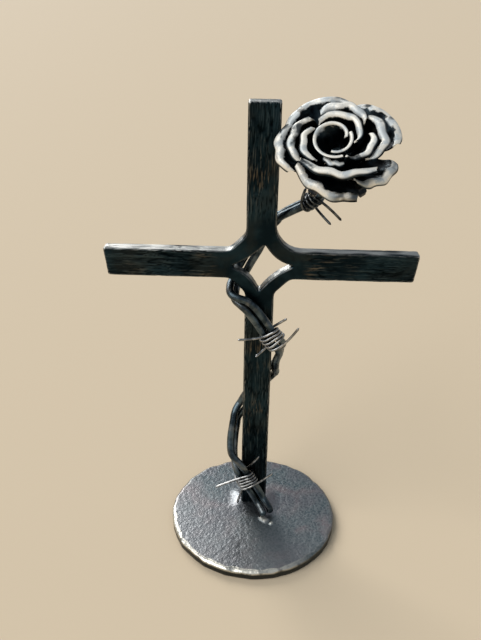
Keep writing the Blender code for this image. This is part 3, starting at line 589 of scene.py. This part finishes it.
def smooth_path(points, step):
    """Even points along a smooth curve through the given points."""
    fine = []
    padded = [2.0 * points[0] - points[1], *points, 2.0 * points[-1] - points[-2]]
    for before, start, end, after in zip(padded, padded[1:], padded[2:], padded[3:]):
        leave = (end - before) / 2.0
        arrive = (after - start) / 2.0
        for k in range(CURVE_STEPS):
            t = k / CURVE_STEPS
            fine.append(
                start * (2.0 * t**3 - 3.0 * t**2 + 1.0) + leave * (t**3 - 2.0 * t**2 + t)
                + end * (3.0 * t**2 - 2.0 * t**3) + arrive * (t**3 - t**2)
            )
    fine.append(points[-1])
    lengths = [0.0]
    for a, b in zip(fine, fine[1:]):
        lengths.append(lengths[-1] + (b.xyz - a.xyz).length)
    count = max(2, round(lengths[-1] / step))
    even = []
    i = 0
    for k in range(count + 1):
        target = lengths[-1] * k / count
        while i < len(fine) - 2 and lengths[i + 1] < target:
            i += 1
        share = (target - lengths[i]) / (lengths[i + 1] - lengths[i])
        even.append(fine[i].lerp(fine[i + 1], share))
    return even


def stem_line():
    """The stem from foot to rose: its middle, its axis, and the way from there to the first rod."""
    points = [
        Vector((x, y, plate_top + height, math.radians(pair_angle)))
        for x, y, height, pair_angle in STEM_FOOT
    ]
    for share, degrees, stand_off, pair_angle in STEM_ROUTE:
        spot = beside_post(share * ARM_HEIGHT, degrees, stand_off)
        points.append(Vector((*spot, math.radians(pair_angle))))
    edge = Vector((BAR_WIDTH / 2.0, POST_SETBACK - BAR_DEPTH / 2.0, ARM_HEIGHT))
    last_angle = points[-1].w
    points += [Vector((*(edge + Vector(spot)), last_angle)) for spot in STEM_TO_ROSE]
    rose = rose_frame()
    for behind in (4.0 * ROD_RADIUS, 2.0 * ROD_RADIUS, 0.0):
        spot = rose @ Vector((0.0, 0.0, HIP_BACK - ROD_GAP - behind))
        points.append(Vector((*spot, last_angle)))
    line = smooth_path(points, STEM_STEP)
    steps = []
    outward = Vector((0.0, -1.0, 0.0))
    for i, point in enumerate(line):
        axis = (line[min(i + 1, len(line) - 1)].xyz - line[max(i - 1, 0)].xyz).normalized()
        if point.z < STEM_ROUTE[-1][0] * ARM_HEIGHT:
            beside = Vector((
                min(max(point.x, -BAR_WIDTH / 2.0), BAR_WIDTH / 2.0),
                min(max(point.y, POST_SETBACK - BAR_DEPTH / 2.0), POST_SETBACK + BAR_DEPTH / 2.0),
                point.z,
            ))
            outward = point.xyz - beside
        outward = (outward - axis * outward.dot(axis)).normalized()
        other = axis.cross(outward)
        steps.append((point.xyz, axis, math.cos(point.w) * outward + math.sin(point.w) * other))
    return steps


def round_bar(name, line, radius, sides, dent, dent_size, end_rounding):
    """A round bar along a line of points, a little uneven from the hammer, with rounded ends."""
    spots = np.array([list(point) for point in line])
    ways = np.gradient(spots, axis=0)
    ways /= np.linalg.norm(ways, axis=1)[:, None]
    side = Vector(ways[0]).orthogonal().normalized()
    rings = []
    travelled = np.concatenate([[0.0], np.cumsum(np.linalg.norm(np.diff(spots, axis=0), axis=1))])
    for i, (spot, way) in enumerate(zip(spots, ways)):
        side = (side - Vector(way) * side.dot(Vector(way))).normalized()
        other = Vector(way).cross(side)
        to_end = min(travelled[i], travelled[-1] - travelled[i])
        into_rounding = max(0.0, 1.0 - to_end / end_rounding)
        rounded = math.sqrt(1.0 - 0.75 * into_rounding**2)
        angles = np.arange(sides) * math.tau / sides
        ring = np.outer(np.cos(angles), side) + np.outer(np.sin(angles), other)
        rings.append((spot, ring, radius * rounded))
    flat = np.concatenate([spot + ring * size for spot, ring, size in rings])
    ways_out = np.concatenate([ring for spot, ring, size in rings])
    knocked = np.clip(0.5 + ripple(flat, dent_size), 0.0, 1.0)
    flat -= ways_out * (radius * dent * knocked)[:, None]
    obj = mesh_object(name, flat, ring_faces(len(rings), sides))
    obj.data.set_sharp_from_angle(angle=math.radians(60.0))
    return obj


def stem_steel():
    """Dark gunmetal, smooth from the fire and lightly rubbed."""
    material, tree, shader = iron_finish("dark_stem_steel", 1.0, 0.3)
    skin = use_group(
        tree, forge_skin, Dark=(0.030, 0.042, 0.050, 1.0), Tint=(0.10, 0.135, 0.155, 1.0),
        Scale_colour=(0.24, 0.25, 0.25, 1.0), Scale_share=0.5, Clouds_per_metre=70.0,
        Grit_per_metre=1300.0,
    )
    roughness = cloudy(tree, skin, 0.24, 0.40)
    colour, grit = skin.outputs["Colour"], skin.outputs["Grit"]
    dress(tree, shader, colour, roughness, grit, strength=0.35, depth=0.0003)
    return material


stem = stem_line()
dark_steel = stem_steel()
for letter, hand in (("a", 1.0), ("b", -1.0)):
    rod_line = [point + hand * (ROD_RADIUS + ROD_GAP) * pair for point, axis, pair in stem]
    rod = round_bar(
        f"climbing_rod_{letter}", rod_line, ROD_RADIUS, ROD_SIDES, STEM_DENT, STEM_DENT_SIZE,
        ROD_END_ROUNDING,
    )
    rod.data.materials.append(dark_steel)
    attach(rod, "root")
    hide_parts(f"stem_rod_{letter}")


# Barbs: short pieces of bright round wire, two to each barb, pulled tight twice round both rods and
# cut off slantwise with their four points bent out.
WIRE_RADIUS = 0.00115
WIRE_GAP = 0.0007                # clearance of the coils to the stem
WIRE_SPACING = 0.0034            # from one wire of a coil to the next
WIRE_TURNS = 2
WIRE_SIDES = 14
WIRE_STEPS_PER_TURN = 64
WIRE_END_STEPS = 30
WIRE_END_STRAIGHTNESS = 0.30     # how far an end keeps its first way, as a share of its length
WIRE_END_ROUNDING = 0.0006
WIRE_DENT = 0.05
WIRE_DENT_SIZE = 0.003
COIL_CORNERING = 0.12            # how sharply a coil turns from one rod to the other
COIL_STAND_OFF = ROD_RADIUS + WIRE_GAP + WIRE_RADIUS
# Barb: share of the stem's length, first angle in degrees, way of winding (1 or -1), and the tips of
# its two wires from the barb's middle
Barb = namedtuple("Barb", "name along turn hand tips")
BARBS = (
    Barb("lower", 0.100, 0.0, 1.0, (
        ((-0.0297, -0.0090, -0.0040), (0.0253, -0.0110, 0.0167)),
        ((0.0120, 0.0010, 0.0270), (-0.0083, -0.0030, -0.0289)),
    )),
    Barb("middle", 0.5105, 0.0, 1.0, (
        ((-0.0299, -0.0093, 0.0021), (0.0219, -0.0113, 0.0163)),
        ((0.0118, 0.0007, 0.0188), (-0.0141, -0.0033, -0.0176)),
    )),
    Barb("upper", 0.905, 180.0, -1.0, (
        ((-0.0089, -0.0008, 0.0154), (0.0154, -0.0048, -0.0192)),
        ((0.0241, -0.0008, -0.0167), (-0.0068, -0.0068, 0.0110)),
    )),
)


def wire_end(start, way, tip):
    """Points from a coil's end to the wire's tip, leaving along the coil."""
    control = start + way * (tip - start).length * WIRE_END_STRAIGHTNESS
    points = []
    for k in range(1, WIRE_END_STEPS + 1):
        t = k / WIRE_END_STEPS
        points.append(start * (1.0 - t) ** 2 + control * 2.0 * t * (1.0 - t) + tip * t**2)
    return points


def round_the_stem(place_along, angle):
    """A point of a wire pulled tight round both rods, at a place along the stem."""
    i = min(max(int(place_along), 0), len(stem) - 2)
    point, axis, pair = (a.lerp(b, place_along - i) for a, b in zip(stem[i], stem[i + 1]))
    axis.normalize()
    front = Vector((0.0, -1.0, 0.0))
    front = (front - axis * front.dot(axis)).normalized()
    way = math.cos(angle) * front + math.sin(angle) * axis.cross(front)
    share = min(max(way.dot(pair) / COIL_CORNERING, -1.0), 1.0)
    return point + share * (ROD_RADIUS + ROD_GAP) * pair + COIL_STAND_OFF * way


def barb_steel(name, bright, dull):
    """Drawn wire, bright where it is rubbed and dull in between."""
    material, tree, shader = iron_finish(name, 1.0, 0.28)
    skin = use_group(
        tree, forge_skin, Dark=dull, Tint=bright, Scale_colour=dull, Scale_share=0.4,
        Clouds_per_metre=160.0, Grit_per_metre=1800.0,
    )
    roughness = cloudy(tree, skin, 0.22, 0.36)
    colour, grit = skin.outputs["Colour"], skin.outputs["Grit"]
    dress(tree, shader, colour, roughness, grit, strength=0.25, depth=0.0002)
    return material


bright_wire = barb_steel(
    "bright_wire_steel", bright=(0.52, 0.52, 0.51, 1.0), dull=(0.20, 0.205, 0.21, 1.0),
)
# A dark copy of the wire steel, painted shade for the upper barb, which lies in the rose's shadow
rose_shaded_wire = barb_steel("rose_shaded_wire_steel", bright=(0.14, 0.15, 0.15, 1.0), dull=(0.03, 0.035, 0.04, 1.0))
stem_step = (stem[1][0] - stem[0][0]).length
for barb in BARBS:
    along = barb.along * (len(stem) - 1)
    middle = stem[int(along)][0].lerp(stem[int(along) + 1][0], along - int(along))
    turns = WIRE_TURNS * WIRE_STEPS_PER_TURN
    for letter, half_turn, (first_tip, last_tip) in zip("ab", (0.0, 180.0), barb.tips):
        first_angle = math.radians(barb.turn + half_turn)
        coil = []
        for k in range(turns + 1):
            angle = first_angle + barb.hand * math.tau * k / WIRE_STEPS_PER_TURN
            shift = 2.0 * WIRE_SPACING * WIRE_TURNS * (0.5 - k / turns)
            coil.append(round_the_stem(along + shift / stem_step, angle))
        lead_in = wire_end(coil[0], (coil[0] - coil[1]).normalized(), middle + Vector(first_tip))
        lead_out = wire_end(coil[-1], (coil[-1] - coil[-2]).normalized(), middle + Vector(last_tip))
        wire_line = lead_in[::-1] + coil + lead_out
        wire = round_bar(
            f"{barb.name}_barb_{letter}", wire_line, WIRE_RADIUS, WIRE_SIDES, WIRE_DENT, WIRE_DENT_SIZE,
            WIRE_END_ROUNDING,
        )
        # Painted shade: the upper barb, under the rose, gets the dark copy of the wire steel
        wire.data.materials.append(rose_shaded_wire if barb.name == "upper" else bright_wire)
        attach(wire, "root")
        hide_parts(f"{barb.name}_barb_wire_{letter}")


# Rose petals: three rings of sheet, each a disc cut into petals, dished with a ball hammer and
# rolled out along the rims. They are black inside and the rims are brushed down to bare steel.
PETAL_COLUMNS = 44
PETAL_ROWS = 25
ROLL_ROWS = 15                   # rows of the rim's roll, beyond those of the petal
HUB_RADIUS = 0.0060
RIM_ROLL_ANGLE = math.radians(145.0)
CORNER_UNROLL = 0.30             # share by which the roll opens out at a petal's corners
CORNER_DRAW_IN = 0.10            # share of the reach by which the corners draw in
CORNER_DROP = 0.07               # share of the reach by which a tucked corner drops
TIP_NARROWING = 0.16             # share by which a petal narrows towards its rim
NARROWING_START = 0.40           # share of the way out at which that begins
OPENING_START = 0.12             # share of the way out at which a petal widens from its foot,
OPENING_SPAN = 0.45              # and over how much of the way
TUCK_START = 0.15                # the same for its tucked side
TUCK_SPAN = 0.40
SKEW_SPAN = 0.70
WAVES_PER_PETAL = 2.6
FOOT_WIDTH_SHARE = 0.95          # how much of the hub's edge a petal's foot takes up
CRINKLE = 0.00022                # waves that the hammer left along the rims
CRINKLE_SIZE = 0.0080
CRINKLE_START = 0.25
CRINKLE_SPAN = 0.30
DISHING = 0.00022                # marks of the ball hammer
DISHING_SIZE = 0.0045
BARE_SHEET = (0.97, 0.94, 0.86, 1.0)
BARE_SHEET_COOL = (0.62, 0.66, 0.67, 1.0)
# Petal: bearing and half width in degrees, reach, rise, and the shares by which its reach grows
# towards one corner (skew) and towards both, as on a rim cut straight (straightness)
Petal = namedtuple("Petal", "bearing half_width reach rise skew straightness")
# Ring: height of its hub, shares that shape its petals' curve, radius of the rolled rim, how far one
# side of each petal is tucked back, and the height of the rim's waves
Ring = namedtuple("Ring", "name base belly shoulder climb roll tuck wave petals")
RINGS = (
    Ring("outer", 0.0, 0.45, 0.84, 0.45, 0.0038, 0.0048, 0.0012, (
        Petal(46.0, 41.0, 0.0480, 0.0085, -0.04, 0.0), Petal(121.0, 43.0, 0.0475, 0.0100, 0.0, 0.0),
        Petal(180.0, 30.0, 0.0455, 0.0100, -0.09, 0.0), Petal(250.0, 54.0, 0.0332, 0.0060, 0.04, 0.40),
        Petal(328.0, 31.0, 0.0402, 0.0085, 0.12, 0.0),
    )),
    Ring("middle", SHEET + ROD_GAP, 0.61, 0.88, 0.52, 0.0034, 0.0036, 0.0010, (
        Petal(84.0, 44.0, 0.0325, 0.0175, 0.0, 0.0), Petal(175.0, 40.0, 0.0355, 0.0170, 0.0, 0.0),
        Petal(270.0, 61.0, 0.0292, 0.0200, 0.0, 0.60), Petal(9.0, 48.0, 0.0338, 0.0185, 0.0, 0.0),
    )),
    Ring("inner", 2.0 * (SHEET + ROD_GAP), 0.54, 0.93, 0.50, 0.0026, 0.0019, 0.0006, (
        Petal(65.0, 84.0, 0.0214, 0.0188, 0.20, 0.0), Petal(194.0, 40.0, 0.0276, 0.0197, 0.03, 0.0),
        Petal(260.0, 31.0, 0.0196, 0.0148, 0.0, 0.80), Petal(335.0, 46.0, 0.0252, 0.0200, 0.12, 0.0),
    )),
)


def petal_profile(ring, petal):
    """Place and slope along a petal's middle, and how far its rim is rolled outward there."""
    foot = Vector((HUB_RADIUS, ring.base))
    slope = math.atan2(petal.rise * (1.0 - ring.climb), petal.reach * (1.0 - ring.shoulder))
    lip = Vector((petal.reach - ring.roll * (1.0 + math.sin(slope)), ring.base + petal.rise))
    belly = Vector((petal.reach * ring.belly, ring.base))
    shoulder = Vector((lip.x * ring.shoulder, ring.base + petal.rise * ring.climb))
    slope = math.atan2(lip.y - shoulder.y, lip.x - shoulder.x)
    rows = []
    for k in range(PETAL_ROWS + 1):
        t = k / PETAL_ROWS
        spot = (
            foot * (1.0 - t) ** 3 + belly * 3.0 * t * (1.0 - t) ** 2
            + shoulder * 3.0 * t**2 * (1.0 - t) + lip * t**3
        )
        way = (
            (belly - foot) * (1.0 - t) ** 2 + (shoulder - belly) * 2.0 * t * (1.0 - t)
            + (lip - shoulder) * t**2
        )
        rows.append((spot, math.atan2(way.y, way.x), 0.0))
    rows += [(lip, slope, k / ROLL_ROWS) for k in range(1, ROLL_ROWS + 1)]
    return rows


def petal_rows(ring, petal, base_half_width):
    """Points of one petal, row by row from the hub to the rolled rim, in the rose's frame."""
    profile = petal_profile(ring, petal)
    lip_share = PETAL_ROWS / (len(profile) - 1)
    rows = []
    for r, (spot, slope, roll) in enumerate(profile):
        v = r / (len(profile) - 1)
        opened = ease((v - OPENING_START) / OPENING_SPAN)
        half_width = base_half_width + (math.radians(petal.half_width) - base_half_width) * opened
        half_width *= 1.0 - TIP_NARROWING * ease((v - NARROWING_START) / (1.0 - NARROWING_START))
        lifted = ease((v - TUCK_START) / (lip_share - TUCK_START))
        tucked = ease((v - TUCK_START) / TUCK_SPAN)
        crinkled = CRINKLE * ease((v - CRINKLE_START) / CRINKLE_SPAN)
        skewed = ease(v / SKEW_SPAN)
        leaning = max(slope, 0.0)
        row = []
        for c in range(PETAL_COLUMNS + 1):
            u = 2.0 * c / PETAL_COLUMNS - 1.0
            crinkle = crinkled * noise.noise(Vector((
                u * math.radians(petal.half_width) * petal.reach / CRINKLE_SIZE, petal.bearing, v * 1.5,
            )))
            turned = slope - RIM_ROLL_ANGLE * roll * (1.0 - CORNER_UNROLL * u**2)
            rolled = spot + Vector((
                math.sin(slope) - math.sin(turned), math.cos(turned) - math.cos(slope),
            )) * (ring.roll + crinkle)
            corner = abs(u) ** 3 * lifted * petal.reach
            tuck = ring.tuck * (1.0 + u) / 2.0 * tucked
            wave = ring.wave * math.sin(WAVES_PER_PETAL * math.pi * u + petal.bearing) * (1.0 - u**2)
            back = tuck + wave * lifted + crinkle
            straight = petal.straightness * (1.0 / math.cos(half_width * u) - 1.0)
            reach = rolled.x * (1.0 + (petal.skew * u + straight) * skewed)
            radius = reach - CORNER_DRAW_IN * corner + back * math.sin(leaning)
            height = rolled.y - CORNER_DROP * corner * (1.0 + u) / 2.0 - back * math.cos(leaning)
            bearing = math.radians(petal.bearing) + half_width * u
            row.append(Vector((radius * math.cos(bearing), radius * math.sin(bearing), height)))
        rows.append(row)
    return rows


def sheet_piece(name, patches, hub_height, thickness, placement):
    """Patches of rows of points joined by a flat hub, made as thick as the sheet and put in place."""
    vertices = []
    rim = []
    faces = []
    hub_edge = []
    for rows in patches:
        first = len(vertices)
        columns = len(rows[0])
        for r, row in enumerate(rows):
            vertices += row
            rim += [r / (len(rows) - 1)] * columns
        for r in range(len(rows) - 1):
            for c in range(columns - 1):
                a = first + r * columns + c
                faces.append((a, a + 1, a + columns + 1, a + columns))
        hub_edge += range(first, first + columns)
    middle = len(vertices)
    vertices.append(Vector((0.0, 0.0, hub_height)))
    rim.append(0.0)
    for k in range(len(hub_edge)):
        faces.append((middle, hub_edge[k - 1], hub_edge[k]))
    obj = mesh_object(name, [list(spot) for spot in vertices], faces)
    note_on_mesh(obj, "rim", rim)
    thick = obj.modifiers.new("thickness", "SOLIDIFY")
    thick.thickness = thickness
    thick.offset = 0.0
    view = bpy.context.evaluated_depsgraph_get()
    solid = bpy.data.meshes.new_from_object(obj.evaluated_get(view))
    obj.modifiers.clear()
    obj.data = solid
    solid.transform(placement)
    tidy = bmesh.new()
    tidy.from_mesh(solid)
    bmesh.ops.recalc_face_normals(tidy, faces=tidy.faces)
    tidy.to_mesh(solid)
    tidy.free()
    solid.shade_smooth()
    solid.set_sharp_from_angle(angle=math.radians(55.0))
    return obj


def dish(obj):
    """Hammer a sheet lightly, which leaves it a little thinner here and there."""
    points = of_vertices(obj, "co")
    depth = DISHING * (1.0 - ripple(points, DISHING_SIZE)) / 2.0
    move_points(obj, points - of_vertices(obj, "normal") * depth[:, None])


MISSED_PATCH_SIZE = 0.004
# Where the wire brush missed the rims and they are still dark: ring, bearing, reach and spread
MISSED_PLACES = (
    ("outer", 297.0, 0.038, 0.017), ("outer", 278.0, 0.036, 0.011), ("outer", 92.0, 0.046, 0.010),
    ("outer", 158.0, 0.046, 0.009), ("outer", 318.0, 0.048, 0.009), ("outer", 342.0, 0.050, 0.010),
    ("outer", 68.0, 0.036, 0.012), ("middle", 146.0, 0.034, 0.010), ("middle", 166.0, 0.036, 0.007),
    ("middle", 52.0, 0.034, 0.008), ("middle", 318.0, 0.040, 0.008), ("inner", 318.0, 0.026, 0.006),
)


def petal_steel(name, rim_start, rim_full):
    """Sheet left black in its hollows and brushed down to pale bare steel along the rims."""
    material, tree, shader = iron_finish(name, 1.0, 0.35)
    skin = use_group(
        tree, forge_skin, Dark=(0.004, 0.005, 0.007, 1.0), Tint=(0.016, 0.028, 0.036, 1.0),
        Scale_colour=(0.06, 0.075, 0.080, 1.0), Scale_share=0.35, Clouds_per_metre=90.0,
        Grit_per_metre=1200.0,
    )
    brush = clouds(tree, 110.0, detail=5.0, roughness=0.6).outputs["Fac"]
    wander = between(tree, brush, 0.25, 0.75, -0.07, 0.07)
    edge = reckon(tree, "ADD", vertex_note(tree, "rim"), wander)
    brushed = between(tree, edge, rim_start, rim_full)
    turned_under = between(tree, vertex_note(tree, "rim"), 0.89, 0.96)
    brushed = reckon(tree, "MULTIPLY", brushed, reckon(tree, "SUBTRACT", 1.0, turned_under))
    nicks = clouds(tree, 240.0, detail=4.0, distortion=0.4).outputs["Fac"]
    blued = clouds(tree, 62.0, detail=3.0, distortion=0.3).outputs["Fac"]
    missed = between(tree, blued, 0.58, 0.68)
    missed = reckon(tree, "MAXIMUM", missed, vertex_note(tree, "missed"), clamp=True)
    reached = reckon(tree, "SUBTRACT", 1.0, reckon(tree, "MULTIPLY", missed, 0.85))
    bare = reckon(tree, "MULTIPLY", brushed, reached)
    bare = reckon(tree, "MULTIPLY", bare, between(tree, nicks, 0.22, 0.34, 0.4, 1.0))
    pale = mixed(tree, between(tree, brush, 0.44, 0.60), BARE_SHEET, BARE_SHEET_COOL)
    coloured = mixed(tree, bare, skin.outputs["Colour"], pale)
    tree.links.new(between(tree, bare, 0.0, 1.0, 0.95, 0.25), shader.inputs["Metallic"])
    relief = reckon(tree, "ADD", nicks, reckon(tree, "MULTIPLY", skin.outputs["Grit"], 0.3))
    roughness = between(tree, bare, 0.0, 1.0, 0.34, 0.46)
    dress(tree, shader, coloured, roughness, relief, strength=0.25, depth=0.0005)
    return material


rose = rose_frame()
burnished_petal = petal_steel("burnished_petal_steel", 0.64, 0.70)
for ring in RINGS:
    order = sorted(ring.petals, key=lambda petal: petal.bearing)
    patches = []
    for i, petal in enumerate(order):
        to_last = (petal.bearing - order[i - 1].bearing) % 360.0
        to_next = (order[(i + 1) % len(order)].bearing - petal.bearing) % 360.0
        base_half_width = math.radians(min(to_last, to_next)) / 2.0 * FOOT_WIDTH_SHARE
        patches.append(petal_rows(ring, petal, base_half_width))
    petals = sheet_piece(f"{ring.name}_petals", patches, ring.base, SHEET, rose)
    dish(petals)
    in_rose = np.array([list(rose.inverted() @ Vector(point)) for point in of_vertices(petals, "co")])
    missed = np.zeros(len(in_rose))
    for ring_name, degrees, out, spread in MISSED_PLACES:
        if ring_name == ring.name:
            bearing = math.radians(degrees)
            off_spot = np.hypot(
                in_rose[:, 0] - out * math.cos(bearing), in_rose[:, 1] - out * math.sin(bearing),
            )
            missed = np.maximum(missed, 1.0 - ease(off_spot / spread))
    note_on_mesh(petals, "missed", missed * ease(0.8 + 1.2 * ripple(in_rose, MISSED_PATCH_SIZE)))
    petals.data.materials.append(burnished_petal)
    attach(petals, "root")
    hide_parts(f"rose_{ring.name}_petals")


# Rose heart: two strips of thinner sheet curled into each other, their upper edges turned out and
# brushed. They stand on the middle of the innermost ring.
HEART_SHEET = 0.0010
HEART_FOOT_SHARE = 0.40          # size at the foot, as a share of that at the rim
HEART_RIM = 0.0225               # height of its rim above the rose's middle
HEART_LEAN = (-0.0026, 0.0005)   # how far its rim stands off the rose's axis
HEART_ROLL = 0.0012
HEART_ROWS = 21
HEART_ROLL_ROWS = 21
# Curl: its ends' bearings at the rim and at the foot, how far each end is from the heart's middle, and
# its columns of points
Curl = namedtuple("Curl", "start end foot_start foot_end start_reach end_reach columns")
CURLS = (
    Curl(-65.0, -350.0, -108.0, -315.0, 0.0144, 0.0065, 130),
    Curl(30.0, -100.0, 30.0, -100.0, 0.0108, 0.0100, 60),
)
heart_foot = len(RINGS) * (SHEET + ROD_GAP) + ROD_GAP
heart_patches = []
for curl in CURLS:
    curl_rows = []
    for r in range(HEART_ROWS + HEART_ROLL_ROWS + 1):
        climbed = min(r / HEART_ROWS, 1.0)
        rolled = RIM_ROLL_ANGLE * max(r - HEART_ROWS, 0) / HEART_ROLL_ROWS
        size = HEART_FOOT_SHARE + (1.0 - HEART_FOOT_SHARE) * climbed**1.5
        row = []
        for c in range(curl.columns + 1):
            done = c / curl.columns
            at_foot = curl.foot_start + (curl.foot_end - curl.foot_start) * done
            at_rim = curl.start + (curl.end - curl.start) * done
            bearing = math.radians(at_foot + (at_rim - at_foot) * climbed)
            radius = (curl.start_reach + (curl.end_reach - curl.start_reach) * done**3) * size
            radius += HEART_ROLL * (1.0 - math.cos(rolled))
            height = heart_foot + (HEART_RIM - heart_foot) * climbed + HEART_ROLL * math.sin(rolled)
            row.append(Vector((
                radius * math.cos(bearing) + HEART_LEAN[0] * climbed,
                radius * math.sin(bearing) + HEART_LEAN[1] * climbed, height,
            )))
        curl_rows.append(row)
    heart_patches.append(curl_rows)
heart = sheet_piece("curled_heart", heart_patches, heart_foot, HEART_SHEET, rose)
dish(heart)
note_on_mesh(heart, "missed", np.zeros(len(heart.data.vertices)))
heart.data.materials.append(petal_steel("burnished_heart_steel", 0.46, 0.56))
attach(heart, "root")
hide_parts("rose_heart")


# Calyx: a short hip forged on the stem's end and a star of five narrow sepals curled back under the
# petals. It is black from the fire, with its thin edges rubbed.
CALYX_VOXEL = 0.0004
CALYX_SMOOTHING = 4
RUBBED_SEPAL = (0.55, 0.53, 0.48, 1.0)
calyx = fine_copy("curled_calyx", "rose_calyx", CALYX_VOXEL, CALYX_SMOOTHING)


def sepal_black():
    """Fire-black sheet with rubbed edges."""
    material, tree, shader = iron_finish("fire_black_sepals", 1.0, 0.38)
    skin = use_group(
        tree, forge_skin, Dark=(0.015, 0.018, 0.022, 1.0), Tint=(0.04, 0.05, 0.06, 1.0),
        Scale_colour=(0.10, 0.09, 0.08, 1.0), Scale_share=0.5, Clouds_per_metre=120.0,
        Grit_per_metre=1300.0,
    )
    wear = use_group(tree, worn_edges, Start=0.53, Full=0.62, Breaks_per_metre=300.0, Break_share=0.6)
    coloured = mixed(tree, wear.outputs["Wear"], skin.outputs["Colour"], RUBBED_SEPAL)
    roughness = cloudy(tree, skin, 0.30, 0.46)
    dress(tree, shader, coloured, roughness, skin.outputs["Grit"], strength=0.35, depth=0.0004)
    return material


calyx.data.materials.append(sepal_black())
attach(calyx, "root")
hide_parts("rose_calyx")


# Floor and light: a plain warm pale floor, and two soft lights from far off that fall evenly on it,
# one from behind on the left and one from the front on the left, with a weak cool light all round.
FLOOR_REACH = 30.0
FLOOR_COLOUR = (0.66, 0.54, 0.385, 1.0)
ROOM_COLOUR = (0.84, 0.92, 1.0, 1.0)
ROOM_STRENGTH = 0.36
floor_corners = [
    (FLOOR_REACH * x, FLOOR_REACH * y, 0.0) for x, y in ((-1, -1), (1, -1), (1, 1), (-1, 1))
]
floor = mesh_object("floor", floor_corners, [(0, 1, 2, 3)])
floor_paint, _, floor_shader = iron_finish("pale_floor", 0.0, 0.9)
floor_shader.inputs["Base Color"].default_value = FLOOR_COLOUR
floor.data.materials.append(floor_paint)


def soft_sun(name, towards, strength, spread, colour):
    """Soft light from far off, its spread in degrees."""
    lamp = bpy.data.lights.new(name, "SUN")
    lamp.energy = strength
    lamp.angle = math.radians(spread)
    lamp.color = colour
    obj = bpy.data.objects.new(name, lamp)
    bpy.context.scene.collection.objects.link(obj)
    obj.matrix_world = Vector(towards).to_track_quat("-Z", "Y").to_matrix().to_4x4()


soft_sun("window", towards=(0.55, -0.85, -0.62), strength=1.9, spread=34.0, colour=(1.0, 0.98, 0.95))
soft_sun("side_window", towards=(0.75, 0.45, -0.80), strength=1.7, spread=50.0, colour=(1.0, 0.99, 0.97))

world = bpy.data.worlds.new("studio")
world.use_nodes = True
background = world.node_tree.nodes["Background"]
background.inputs["Color"].default_value = ROOM_COLOUR
background.inputs["Strength"].default_value = ROOM_STRENGTH
bpy.context.scene.world = world
bpy.context.scene.view_settings.view_transform = "Standard"


# Camera: a plain lens where the photographer stood, in front and above, looking down at the cross.
# Its place and angles were worked out from the plate's outline, the post and the arms.
CAMERA_PLACE = Vector((-0.001785, -0.518424, 0.488735))
CAMERA_YAW = -0.0269             # in radians, and a little to the left
CAMERA_PITCH = 0.4728
CAMERA_ROLL = 0.0170
CAMERA_LENS = 37.88              # in millimetres
looking = Vector((
    math.sin(CAMERA_YAW) * math.cos(CAMERA_PITCH), math.cos(CAMERA_YAW) * math.cos(CAMERA_PITCH),
    -math.sin(CAMERA_PITCH),
))
level = Vector((math.cos(CAMERA_YAW), -math.sin(CAMERA_YAW), 0.0))
above = level.cross(looking)
camera_right = math.cos(CAMERA_ROLL) * level + math.sin(CAMERA_ROLL) * above
camera_up = -math.sin(CAMERA_ROLL) * level + math.cos(CAMERA_ROLL) * above
lens = bpy.data.cameras.new("camera")
lens.lens = CAMERA_LENS
camera = bpy.data.objects.new("camera", lens)
bpy.context.scene.collection.objects.link(camera)
turned = Matrix((camera_right, camera_up, -looking)).transposed().to_4x4()
camera.matrix_world = Matrix.Translation(CAMERA_PLACE) @ turned
bpy.context.scene.camera = camera
